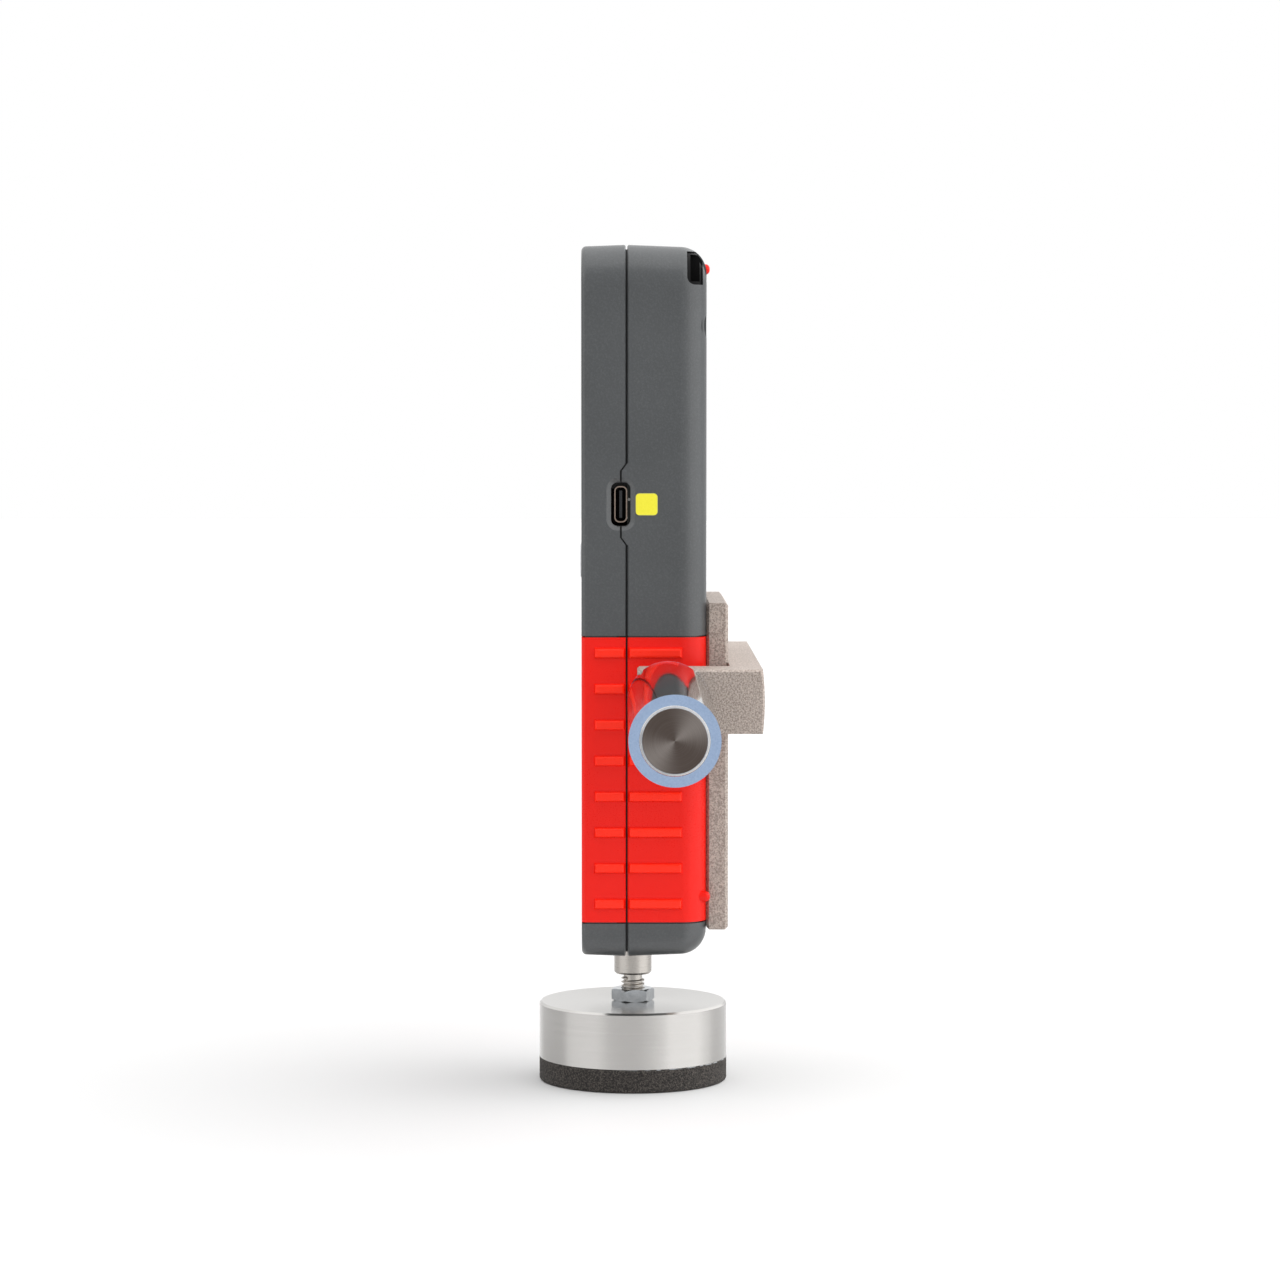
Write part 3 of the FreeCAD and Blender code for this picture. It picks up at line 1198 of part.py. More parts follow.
plate_screws = []
for index, (across, level) in enumerate(PLATE_SCREW_SPOTS, start=1):
    head = cone(
        f"plate_screw_head_{index}", "Y", across, f"{PLATE_BACK} - plate_screw_sink", level,
        "plate_screw_diameter", "plate_screw_head", "plate_screw_sink",
    )
    shank = rod(
        f"plate_screw_shank_{index}", "Y", across, f"{PLATE_BACK} - plate_screw_length", level,
        "plate_screw_diameter", "plate_screw_length - plate_screw_sink / 2",
    )
    socket = hexagon(
        f"plate_screw_socket_{index}", "Y", across, f"{PLATE_BACK} - plate_screw_sink", level,
        "small_hex_key", "plate_screw_sink + 1",
    )
    plate_screws.append(cut(f"plate_screw_{index}", joined(f"plate_screw_blank_{index}", [head, shank]), socket))
node(group("plate_screws", plate_screws))

# Cross bracket
# One U-shaped bar: its back is slightly crowned, and its arms reach forward beside the housing.

cross_bracket = node(new_body("cross_bracket"))
bracket_bottom = "(bracket_level - bracket_height / 2)"
bracket_top = "(bracket_level + bracket_height / 2)"
arm_inside = f"({BRACKET_SIDE} - arm_thickness)"
top_view = new_sketch(cross_bracket, "XY", bracket_bottom)
polygon(top_view, [
    (f"-{BRACKET_SIDE}", "bracket_front"),
    (f"-{arm_inside}", "bracket_front"),
    (f"-{arm_inside}", PLATE_BACK),
    (arm_inside, PLATE_BACK),
    (arm_inside, "bracket_front"),
    (BRACKET_SIDE, "bracket_front"),
    (BRACKET_SIDE, "bracket_back + bracket_crown"),
    (f"-{BRACKET_SIDE}", "bracket_back + bracket_crown"),
])
pad(cross_bracket, top_view, "bracket_height")
front_level = number("bracket_front")
dress("Fillet", cross_bracket, "arm_radius", lambda edge: lies_at(edge, "Y", front_level) and spans(edge, "Z", "X"))
crown_radius = "((bracket_height / 2) ^ 2 + bracket_crown ^ 2) / (2 * bracket_crown)"
crown = new_sketch(cross_bracket, "YZ")
crown_outside = "(bracket_back + bracket_crown + 1)"
crown_corners = [
    ("bracket_back", bracket_bottom),
    ("bracket_back", bracket_top),
    (crown_outside, bracket_top),
    (crown_outside, bracket_bottom),
]
polygon(crown, crown_corners, {0: (crown_radius, 1)})
pocket(cross_bracket, crown, "bracket_width + 2", 0)
side_level = number(BRACKET_SIDE)
dress("Chamfer", cross_bracket, "bracket_bevel", lambda edge: at(abs(edge.CenterOfMass.x), side_level)
      and edge.BoundBox.XLength < 1e-3)

screw_seat = "(bracket_back + bracket_crown - bracket_screw_head_height)"
bore(
    cross_bracket, "XZ", screw_seat, BRACKET_SCREW_SPOTS, "bracket_screw_head + head_clearance * 2",
    "bracket_screw_head_height + 1", 1,
)
bore(
    cross_bracket, "XZ", screw_seat, BRACKET_SCREW_SPOTS,
    "bracket_screw_diameter + plate_hole_clearance * 2", f"{screw_seat} - {PLATE_BACK}", -1,
)
for sign in (-1, 1):
    bore(
        cross_bracket, "YZ", on_side(sign, arm_inside), [("handle_back", "bracket_level")],
        "stud_diameter + plate_hole_clearance * 2", "arm_thickness", sign,
    )
    bore(
        cross_bracket, "YZ", on_side(sign, arm_inside), [("handle_back", "bracket_level")],
        "cap_head_diameter + head_clearance * 2", "handle_head_height", sign,
    )

bracket_screws = []
screw_end = f"({PLATE_BACK} - bracket_screw_bite)"
for index, (across, level) in enumerate(BRACKET_SCREW_SPOTS, start=1):
    head = rod(
        f"bracket_screw_head_{index}", "Y", across, screw_seat, level,
        "bracket_screw_head", "bracket_screw_head_height - bracket_crown",
    )
    shank = rod(
        f"bracket_screw_shank_{index}", "Y", across, screw_end, level, "bracket_screw_diameter",
        f"{screw_seat} - {screw_end} + bracket_screw_head_height / 3",
    )
    socket = hexagon(
        f"bracket_screw_socket_{index}", "Y", across, f"{screw_seat} + bracket_screw_head_height / 2", level,
        "small_hex_key * 4 / 3", "bracket_screw_head_height",
    )
    bracket_screws.append(
        cut(f"bracket_screw_{index}", joined(f"bracket_screw_blank_{index}", [head, shank]), socket)
    )
node(group("bracket_screws", bracket_screws))

# Handles
# A steel rod stands on each arm, held by a screw from inside the bracket, in a clear tube.

handle_rod = node(new_body("handle_rod_right"))
outline = new_sketch(handle_rod, "XZ", "handle_back")
thread_depth = "(handle_screw_length - (arm_thickness - handle_head_height) + 2)"
thread_radius = "(stud_diameter / 2 + thread_clearance)"
rod_end = f"({BRACKET_SIDE} + rod_length)"
polygon(outline, [
    (f"{BRACKET_SIDE} + {thread_depth}", "bracket_level"),
    (rod_end, "bracket_level"),
    (rod_end, "bracket_level + rod_diameter / 2 - rod_chamfer"),
    (f"{rod_end} - rod_chamfer", "bracket_level + rod_diameter / 2"),
    (BRACKET_SIDE, "bracket_level + rod_diameter / 2"),
    (BRACKET_SIDE, f"bracket_level + {thread_radius}"),
    (f"{BRACKET_SIDE} + {thread_depth}", f"bracket_level + {thread_radius}"),
])
turned = handle_rod.newObject("PartDesign::Revolution", "handle_rod_turned")
turned.Profile = outline
turned.ReferenceAxis = (outline, ["Edge1"])
turned.Angle = 360
doc.recompute()
node(mirrored("handle_rod_left", handle_rod))

tube_blank = rod(
    "tube_blank", "X", BRACKET_SIDE, "handle_back", "bracket_level", "tube_diameter", "rod_length",
)
tube_bore = rod(
    "tube_bore", "X", BRACKET_SIDE, "handle_back", "bracket_level",
    "rod_diameter + tube_clearance * 2", "rod_length",
)
handle_tube = node(cut("handle_tube_right", tube_blank, tube_bore))
node(mirrored("handle_tube_left", handle_tube))

handle_seat = f"({arm_inside} + handle_head_height)"
handle_screw_blank = joined("handle_screw_blank", [
    rod(
        "handle_screw_head", "X", arm_inside, "handle_back", "bracket_level",
        "cap_head_diameter", "handle_head_height",
    ),
    rod(
        "handle_screw_shank", "X", f"{handle_seat} - handle_head_height / 3", "handle_back", "bracket_level",
        "stud_diameter", "handle_screw_length + handle_head_height / 3",
    ),
])
handle_screw_socket = hexagon(
    "handle_screw_socket", "X", arm_inside, "handle_back", "bracket_level", "hex_key", "handle_head_height / 2",
)
handle_screw = cut("handle_screw", handle_screw_blank, handle_screw_socket)
node(group("handle_screws", [handle_screw, mirrored("handle_screw_other", handle_screw)]))

# Check every object and write each piece to its own file

doc.recompute()
for thing in doc.Objects:
    if "Invalid" in thing.State or "Error" in thing.State:
        raise RuntimeError(f"{thing.Label} did not build: {thing.State}")
for piece in nodes:
    if piece.Shape.isNull() or not piece.Shape.isValid():
        raise RuntimeError(f"{piece.Label} has no valid shape")
os.makedirs("parts", exist_ok=True)
for piece in nodes:
    piece.Shape.exportStep(f"parts/{piece.Label}.step")
    print(f"{piece.Label}: {len(piece.Shape.Solids)} solid, {piece.Shape.Volume:.1f} mm3")
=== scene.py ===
import json
import math

import bmesh
import bpy
from mathutils import Matrix, Vector, noise


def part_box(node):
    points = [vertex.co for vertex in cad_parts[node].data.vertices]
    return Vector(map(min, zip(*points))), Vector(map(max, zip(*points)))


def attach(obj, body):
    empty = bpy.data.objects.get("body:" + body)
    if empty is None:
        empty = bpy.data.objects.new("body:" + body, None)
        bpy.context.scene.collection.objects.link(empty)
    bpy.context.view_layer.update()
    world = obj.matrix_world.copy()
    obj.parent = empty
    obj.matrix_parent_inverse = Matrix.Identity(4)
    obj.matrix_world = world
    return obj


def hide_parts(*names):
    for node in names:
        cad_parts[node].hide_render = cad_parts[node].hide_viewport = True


# Gravestone stability tester: finishes, fine detail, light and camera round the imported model.
# Metres, in the model's own frame: +Z up the measuring axis, the display faces -Y, the socket +X.
# Finishes and new pieces are worked out in millimetres, and MM turns them into metres.

MM = 0.001

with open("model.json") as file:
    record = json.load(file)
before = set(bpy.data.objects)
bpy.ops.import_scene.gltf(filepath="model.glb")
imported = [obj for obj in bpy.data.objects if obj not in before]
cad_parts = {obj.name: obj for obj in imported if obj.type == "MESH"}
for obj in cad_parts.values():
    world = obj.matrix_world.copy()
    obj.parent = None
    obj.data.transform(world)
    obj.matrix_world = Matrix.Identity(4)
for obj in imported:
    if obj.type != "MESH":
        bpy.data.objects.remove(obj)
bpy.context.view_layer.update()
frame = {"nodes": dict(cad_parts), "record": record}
nodes = frame["nodes"]


# Places on the object, in millimetres


def span(node):
    """Where a node begins and ends along X, Y and Z."""
    low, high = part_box(node)
    return [(low[axis] / MM, high[axis] / MM) for axis in range(3)]


def middle(ends):
    return (ends[0] + ends[1]) / 2


# Corner radius of the housing seen from the front
SHELL_CORNER = 10.0

# Chamfer at the outer end of each handle rod
ROD_CHAMFER = 0.6

# The clear pane within the printed border of the window, which is wider below the pane
WINDOW = span("display_window")
SIDE_BORDER = 3.5
PANE_HALF_WIDTH = WINDOW[0][1] - SIDE_BORDER
PANE_HALF_HEIGHT = 18.5
PANE_LEVEL = WINDOW[2][0] + 24.0


# Shader trees


class Wire:
    """One socket of a shader tree; arithmetic on it adds Math nodes."""

    def __init__(self, finish, socket):
        self.finish = finish
        self.socket = socket

    def math(self, operation, *values):
        return self.finish.add("Math", {"operation": operation}, dict(enumerate(values)))

    def __add__(self, other):
        return self.math("ADD", self, other)

    __radd__ = __add__

    def __sub__(self, other):
        return self.math("SUBTRACT", self, other)

    def __rsub__(self, other):
        return self.math("SUBTRACT", other, self)

    def __mul__(self, other):
        return self.math("MULTIPLY", self, other)

    __rmul__ = __mul__

    def __truediv__(self, other):
        return self.math("DIVIDE", self, other)

    def __rtruediv__(self, other):
        return self.math("DIVIDE", other, self)

    def __abs__(self):
        return self.math("ABSOLUTE", self)

    def most(self, other):
        return self.math("MAXIMUM", self, other)

    def least(self, other):
        return self.math("MINIMUM", self, other)

    def cosine(self):
        return self.math("COSINE", self)

    def bearing(self, across):
        """The angle of the direction (across, self), in radians."""
        return self.math("ARCTAN2", self, across)

    def length(self, other):
        """The length of the direction (self, other)."""
        return self.math("SQRT", self * self + other * other)

    def off_middle(self, pitch):
        """Distance to the middle of the repeat that it lies in."""
        return abs(self.math("FLOORED_MODULO", self, pitch) - pitch / 2)

    def ramp(self, low, high):
        """0 below low and 1 above high, smooth between."""
        settings = {"interpolation_type": "SMOOTHSTEP"}
        return self.finish.add("MapRange", settings, {"Value": self, "From Min": low, "From Max": high})


class Finish:
    """The node tree of a material or world, and what its nodes have in common."""

    def __init__(self, owner):
        self.owner = owner
        owner.use_nodes = True
        self.tree = owner.node_tree
        self.tree.nodes.clear()

    def node(self, kind, settings=None, values=None):
        """A node: its settings first, then the values or links of its sockets."""
        made = self.tree.nodes.new(f"ShaderNode{kind}")
        for name, value in (settings or {}).items():
            setattr(made, name, value)
        for name, value in (values or {}).items():
            if isinstance(value, Wire):
                self.tree.links.new(value.socket, made.inputs[name])
            else:
                made.inputs[name].default_value = value
        return made

    def add(self, kind, settings=None, values=None, out=0):
        """What a new node gives out."""
        return Wire(self, self.node(kind, settings, values).outputs[out])

    def place(self):
        """Object coordinates in millimetres."""
        where = self.add("TexCoord", out="Object")
        return self.add("VectorMath", {"operation": "SCALE"}, {"Vector": where, "Scale": 1 / MM})

    def axes(self, vector):
        outputs = self.node("SeparateXYZ", None, {"Vector": vector}).outputs
        return [Wire(self, outputs[name]) for name in "XYZ"]

    def stretched(self, vector, x, y, z):
        return self.add("VectorMath", {"operation": "MULTIPLY"}, {0: vector, 1: (x, y, z)})

    def noise(self, vector, scale, detail=2.0, roughness=0.5):
        values = {"Vector": vector, "Scale": scale, "Detail": detail, "Roughness": roughness}
        return self.add("TexNoise", None, values)

    def cells(self, vector, scale):
        """Distance to the middle of the nearest cell."""
        return self.add("TexVoronoi", {"feature": "F1"}, {"Vector": vector, "Scale": scale})

    def blend(self, factor, first, second):
        """A colour that goes from first to second."""
        settings = {"data_type": "RGBA", "clamp_factor": True}
        return self.add("Mix", settings, {0: factor, 6: first, 7: second}, out=2)

    def between(self, factor, first, second):
        """A number that goes from first to second."""
        return self.add("Mix", {"data_type": "FLOAT"}, {0: factor, 2: first, 3: second})

    def bump(self, height, depth):
        """Height runs from 0 to 1, depth is in millimetres."""
        return self.add("Bump", None, {"Height": height, "Strength": 1.0, "Distance": depth * MM})

    def surface(self, values):
        return self.add("BsdfPrincipled", None, values)

    def levels(self, value, low, high, stops):
        """A brightness that follows value, from (value, brightness) pairs."""
        level = self.add("FloatCurve", None, {"Value": (value - low) / (high - low)})
        mapping = level.socket.node.mapping
        mapping.use_clip = False
        points = mapping.curves[0].points
        spots = [((at - low) / (high - low), brightness) for at, brightness in stops]
        points[0].location, points[1].location = spots[0], spots[-1]
        for spot in spots[1:-1]:
            points.new(*spot)
        for point in points:
            point.handle_type = "AUTO_CLAMPED"
        mapping.update()
        return level

    def done(self, shader):
        kind = "OutputWorld" if isinstance(self.owner, bpy.types.World) else "OutputMaterial"
        self.node(kind, None, {"Surface": shader})
        return self.owner


def tone(red, green, blue):
    """A colour given as it looks on a screen, 0 to 255."""
    def linear(value):
        share = value / 255
        return share / 12.92 if share <= 0.04045 else ((share + 0.055) / 1.055) ** 2.4
    return (linear(red), linear(green), linear(blue), 1.0)


def new_finish(name):
    return Finish(bpy.data.materials.new(name))


def moulding(f, where, scale, dark, light, rough):
    """The fine grain, colour and roughness of a moulded surface."""
    fine = f.noise(where, scale, detail=3.0)
    cloud = f.noise(where, 0.045)
    colour = f.blend(fine * 0.55 + cloud * 0.45, dark, light)
    return fine, colour, (fine - 0.5) * 0.16 + (cloud - 0.5) * 0.08 + rough


def moulded(name, dark, light, rough, grain, depth, shine=0.5):
    """Moulded plastic or rubber with a fine eroded texture."""
    f = new_finish(name)
    fine, colour, roughness = moulding(f, f.place(), 1 / grain, dark, light, rough)
    return f.done(f.surface({
        "Base Color": colour,
        "Roughness": roughness,
        "Normal": f.bump(fine, depth),
        "Specular IOR Level": shine,
    }))


def ribbed_rubber(name, dark, light, rib_highlight):
    """Soft grip rubber, paler on the raised ribs: a painted highlight."""
    f = new_finish(name)
    where = f.place()
    x, _, _ = f.axes(where)
    crown = span("front_grip_right")[0][1]
    # Painted highlight: the crowns of the ribs are given a paler red.
    on_rib = abs(x).ramp(crown - 0.75, crown - 0.1)
    fine, plain, roughness = moulding(f, where, 3.3, dark, light, 0.3)
    return f.done(f.surface({
        "Base Color": f.blend(on_rib, plain, rib_highlight),
        "Roughness": roughness,
        "Normal": f.bump(fine, 0.012),
        "Specular IOR Level": 0.3,
    }))


def housing(name, dark, light):
    """Eroded housing plastic, with painted shade within the parting groove: near black and rougher there."""
    f = new_finish(name)
    where = f.place()
    x, y, z = f.axes(where)
    fine = f.noise(where, 2.1, detail=4.0, roughness=0.65)
    cloud = f.noise(where, 0.045)
    front_x, front_y, front_z = span("front_shell")
    half_height = (front_z[1] - front_z[0]) / 2
    past_x = (abs(x) - (front_x[1] - SHELL_CORNER)).most(0.0)
    past_z = (abs(z - middle(front_z)) - (half_height - SHELL_CORNER)).most(0.0)
    below_skin = SHELL_CORNER - past_x.length(past_z)
    lips_from, lips_to = span("back_shell")[1][0] - 0.775, front_y[1] + 0.675
    at_lips = y.ramp(lips_from, lips_from + 0.1) * (1 - y.ramp(lips_to - 0.1, lips_to))
    # Painted shade: deep in the parting groove the plastic is painted near black.
    groove_shade = below_skin.ramp(0.4, 0.8) * at_lips
    skin = f.blend(fine.ramp(0.42, 0.74) * 0.5 + cloud * 0.5, dark, light)
    return f.done(f.surface({
        "Base Color": f.blend(groove_shade, skin, tone(12, 12, 13)),
        "Roughness": (fine - 0.5) * 0.05 + 0.31 + groove_shade * 0.4,
        "Specular IOR Level": 1.0,
        "Normal": f.bump(fine, 0.035),
    }))


def socket_metal(name):
    """Nickel sheet: bright at the mouth, with painted shade within."""
    f = new_finish(name)
    where = f.place()
    x, _, _ = f.axes(where)
    grain = f.noise(where, 3.0, detail=3.0)
    rim = span("usb_shell")[0][1]
    bright = f.blend(grain, tone(134, 116, 104), tone(184, 168, 156))
    return f.done(f.surface({
        # Painted shade: behind the mouth the sheet is painted near black.
        "Base Color": f.blend(x.ramp(rim - 0.08, rim - 0.02), tone(16, 15, 15), bright),
        "Metallic": 1.0,
        "Roughness": grain * 0.1 + 0.28,
    }))


def turned(name, dark, light, rough):
    """Steel turned about the measuring axis: fine grooves run round it."""
    f = new_finish(name)
    where = f.place()
    x, y, z = f.axes(where)
    groove = 0.16
    radius = x.length(y)
    outwards = radius + 0.01
    section = f.add("CombineXYZ", None, {0: radius / groove, 1: z / groove, 2: x / outwards})
    lines = f.add("TexNoise", {"noise_dimensions": "4D"}, {
        "Vector": section, "W": y / outwards, "Scale": 1.0, "Detail": 2.0,
    })
    cloud = f.noise(where, 0.06, detail=3.0)
    return f.done(f.surface({
        "Base Color": f.blend(lines * 0.5 + cloud * 0.5, dark, light),
        "Metallic": 1.0,
        "Roughness": lines * 0.1 + (cloud - 0.5) * 0.06 + rough,
        "Anisotropic": 0.4,
        "Anisotropic Rotation": 0.25,
        "Normal": f.bump(lines, 0.003),
    }))


def plated(name, dark, light, rough):
    """Rolled or plated metal with a cloudy sheen and fine scratches."""
    f = new_finish(name)
    where = f.place()
    cloud = f.noise(where, 0.5, detail=4.0)
    scratches = f.noise(f.stretched(where, 1.0, 1.0, 9.0), 2.2, detail=3.0)
    return f.done(f.surface({
        "Base Color": f.blend(cloud * 0.7 + scratches * 0.3, dark, light),
        "Metallic": 1.0,
        "Roughness": (cloud - 0.5) * 0.2 + rough,
        "Normal": f.bump(scratches, 0.004),
    }))


def blasted(name, dark, light):
    """Steel blasted with fine grit: an even, pitted satin."""
    f = new_finish(name)
    where = f.place()
    pits = f.cells(where, 2.6)
    grain = f.noise(where, 2.3, detail=3.0, roughness=0.75)
    cloud = f.noise(where, 0.08, detail=3.0)
    return f.done(f.surface({
        "Base Color": f.blend(grain.ramp(0.38, 0.62) * 0.8 + cloud * 0.2, dark, light),
        "Metallic": 0.6,
        "Roughness": (grain - 0.5) * 0.2 + 0.55,
        "Normal": f.bump(pits * 0.5 + grain * 0.5, 0.07),
    }))


def rod_steel(name):
    """Bright round bar with a turned end: rings on the end, a drawn finish along the side. The end face is
    painted as a darker copy of the steel, painted shade, with a painted bow-tie highlight; the chamfer is
    painted near white, a painted highlight.
    """
    f = new_finish(name)
    where = f.place()
    x, y, z = f.axes(where)
    (_, tip), rod_y, rod_z = span("handle_rod_right")
    across, up = y - middle(rod_y), z - middle(rod_z)
    radius = across.length(up)
    end = abs(x).ramp(tip - ROD_CHAMFER - 0.1, tip - ROD_CHAMFER + 0.1)
    flat = abs(x).ramp(tip - 0.1, tip - 0.05)
    section = f.add("CombineXYZ", None, {0: radius * 5.2, 1: across * 0.04})
    rings = f.add("TexNoise", {"noise_dimensions": "2D"}, {"Vector": section, "Scale": 1.0, "Detail": 3.0})
    drawn = f.noise(f.stretched(where, 0.06, 3.0, 3.0), 1.0, detail=3.0)
    cloud = f.noise(where, 0.4, detail=3.0)
    # Painted highlight: a bright bow-tie across the end face, over a darker painted-shade copy of the steel.
    bow_tie_highlight = (up.bearing(across) * 2.0 - 1.3).cosine() * 0.5 + 0.5
    face = f.blend(bow_tie_highlight * bow_tie_highlight * 0.7 + rings * 0.3, tone(84, 72, 66), tone(158, 150, 145))
    # Painted highlight: the chamfer is painted near white.
    rim = f.blend(rings, tone(226, 222, 218), tone(250, 248, 246))
    side = f.blend(drawn * 0.6 + cloud * 0.4, tone(190, 190, 190), tone(222, 221, 218))
    return f.done(f.surface({
        "Base Color": f.blend(end, side, f.blend(flat, rim, face)),
        "Metallic": 1.0,
        "Roughness": end * 0.14 + cloud * 0.06 + 0.14,
        "Normal": f.bump(f.between(end, drawn * 0.2, rings), 0.04),
    }))


def clear_tube(name):
    """Clear drawn tube: its sawn ends are milky and pale blue."""
    f = new_finish(name)
    where = f.place()
    x, _, _ = f.axes(where)
    inner, outer = span("handle_tube_right")[0]
    sawn = abs(x).ramp(outer - 0.25, outer - 0.1) + (1 - abs(x).ramp(inner + 0.1, inner + 0.3))
    marks = f.noise(f.stretched(where, 0.5, 3.0, 3.0), 1.0, detail=3.0)
    lines = f.noise(f.stretched(where, 0.02, 0.6, 0.6), 1.0)
    clear = f.surface({
        "Base Color": (0.97, 0.985, 1.0, 1.0),
        "Roughness": lines * 0.05 + 0.02,
        "IOR": 1.49,
        "Transmission Weight": 1.0,
        "Normal": f.bump(lines, 0.02),
    })
    milky = f.surface({
        "Base Color": f.blend(marks, tone(122, 143, 176), tone(156, 176, 203)),
        "Roughness": marks * 0.2 + 0.35,
        "IOR": 1.49,
        "Normal": f.bump(marks, 0.02),
    })
    return f.done(f.add("MixShader", None, {0: sawn, 1: clear, 2: milky}))


def foam(name):
    """Dark closed-cell foam, paler in patches along its top edge, more so towards +Y."""
    f = new_finish(name)
    where = f.place()
    _, y, z = f.axes(where)
    cells = f.cells(where, 3.4)
    grain = f.noise(where, 2.5, detail=3.0, roughness=0.8)
    patch = f.noise(where, 0.35, detail=3.0)
    colour = f.blend(grain.ramp(0.42, 0.64) * 0.85 + cells * 0.15, tone(7, 6, 6), tone(88, 82, 77))
    top = span("press_pad")[2][1]
    towards_back = y.ramp(-6.0, 10.0)
    skin = z.ramp(top - 0.28, top - 0.16) * patch.ramp(0.44, 0.6) * towards_back * 0.7
    return f.done(f.surface({
        "Base Color": f.blend(skin, colour, tone(176, 180, 184)),
        "Roughness": grain * 0.15 + 0.8,
        "Normal": f.bump(cells * 0.6 + grain * 0.4, 0.16),
    }))


def window_glass(name):
    """Tinted window with a black border printed behind it."""
    f = new_finish(name)
    where = f.place()
    x, _, z = f.axes(where)
    beside = abs(x).ramp(PANE_HALF_WIDTH - 0.1, PANE_HALF_WIDTH)
    above_or_below = abs(z - PANE_LEVEL).ramp(PANE_HALF_HEIGHT - 0.1, PANE_HALF_HEIGHT)
    smear = f.noise(where, 0.12, detail=4.0)
    pane = f.surface({
        "Base Color": (0.86, 0.9, 0.9, 1.0),
        "Roughness": smear * 0.06 + 0.02,
        "IOR": 1.49,
        "Transmission Weight": 1.0,
    })
    border = f.surface({
        "Base Color": f.blend(smear, tone(14, 14, 15), tone(24, 24, 26)),
        "Roughness": smear * 0.06 + 0.08,
    })
    return f.done(f.add("MixShader", None, {0: beside.most(above_or_below), 1: pane, 2: border}))


def panel_face(name):
    """Grey-green display panel with a faint grid of dots and a dark frame."""
    f = new_finish(name)
    where = f.place()
    x, y, z = f.axes(where)
    across, up = x.off_middle(0.5), z.off_middle(0.5)
    dots = (across * across + up * up).ramp(0.03, 0.06)
    front = span("display_panel")[1][0]
    wide = 1 - abs(x).ramp(PANE_HALF_WIDTH - 0.5, PANE_HALF_WIDTH - 0.3)
    tall = 1 - abs(z - PANE_LEVEL).ramp(PANE_HALF_HEIGHT - 0.5, PANE_HALF_HEIGHT - 0.3)
    area = wide * tall * (1 - y.ramp(front + 0.05, front + 0.1))
    cloud = f.noise(where, 0.05)
    lit = f.blend(dots * 0.25 + cloud * 0.75, tone(142, 152, 142), tone(160, 170, 158))
    return f.done(f.surface({
        "Base Color": f.blend(area, tone(28, 30, 32), lit),
        "Roughness": cloud * 0.1 + 0.35,
    }))


def gold_tongue(name):
    """Black contact tongue with a row of gold contacts."""
    f = new_finish(name)
    where = f.place()
    x, _, z = f.axes(where)
    (_, tip), _, tongue_z = span("usb_tongue")
    along = z - middle(tongue_z)
    row = 1 - abs(along).ramp(2.9, 3.0)
    contact = x.ramp(tip - 4.0, tip - 3.9) * (1 - x.ramp(tip - 0.6, tip - 0.5))
    gold = (1 - along.off_middle(0.5).ramp(0.11, 0.14)) * row * contact
    grain = f.noise(where, 4.0)
    return f.done(f.surface({
        "Base Color": f.blend(gold, tone(34, 35, 38), tone(214, 176, 96)),
        "Metallic": gold,
        "Roughness": grain * 0.1 + 0.3,
    }))


def circuit_board(name):
    """Dark green board: paler copper runs under the coating and tinned spots."""
    f = new_finish(name)
    where = f.place()
    runs = f.cells(f.stretched(where, 1.0, 1.0, 0.25), 0.7).ramp(0.35, 0.4)
    tinned = 1 - f.cells(where, 0.5).ramp(0.16, 0.2)
    grain = f.noise(where, 3.0)
    green = f.blend(runs, tone(8, 24, 16), tone(14, 34, 22))
    return f.done(f.surface({
        "Base Color": f.blend(tinned, green, tone(190, 190, 186)),
        "Metallic": tinned,
        "Roughness": grain * 0.1 + 0.3,
        "Normal": f.bump(runs, 0.03),
    }))


def wrap_film(name):
    """Shrink film round the battery pack: smooth, with soft creases."""
    f = new_finish(name)
    creases = f.noise(f.stretched(f.place(), 0.6, 1.0, 0.15), 0.7, detail=3.0)
    return f.done(f.surface({
        "Base Color": f.blend(creases, tone(30, 54, 104), tone(44, 74, 132)),
        "Roughness": creases * 0.15 + 0.25,
        "Normal": f.bump(creases, 0.3),
    }))


def tag_film(name):
    """Plain yellow film with a pale cut edge."""
    f = new_finish(name)
    where = f.place()
    _, y, z = f.axes(where)
    _, tag_y, tag_z = span("yellow_tag")
    half = (tag_y[1] - tag_y[0]) / 2
    off_centre = abs(y - middle(tag_y)).most(abs(z - middle(tag_z)))
    grain = f.noise(where, 3.0, detail=3.0)
    yellow = f.blend(grain, tone(232, 222, 40), tone(246, 238, 66))
    return f.done(f.surface({
        "Base Color": f.blend(off_centre.ramp(half - 0.2, half - 0.08), yellow, tone(214, 208, 96)),
        "Roughness": grain * 0.1 + 0.3,
        "Normal": f.bump(grain, 0.004),
    }))


def printed(name, colour):
    """Screen-printed ink."""
    f = new_finish(name)
    grain = f.noise(f.place(), 6.0)
    return f.done(f.surface({
        "Base Color": f.blend(grain * 0.3, colour, tone(120, 120, 120)),
        "Roughness": grain * 0.1 + 0.45,
        "Normal": f.bump(grain, 0.004),
    }))


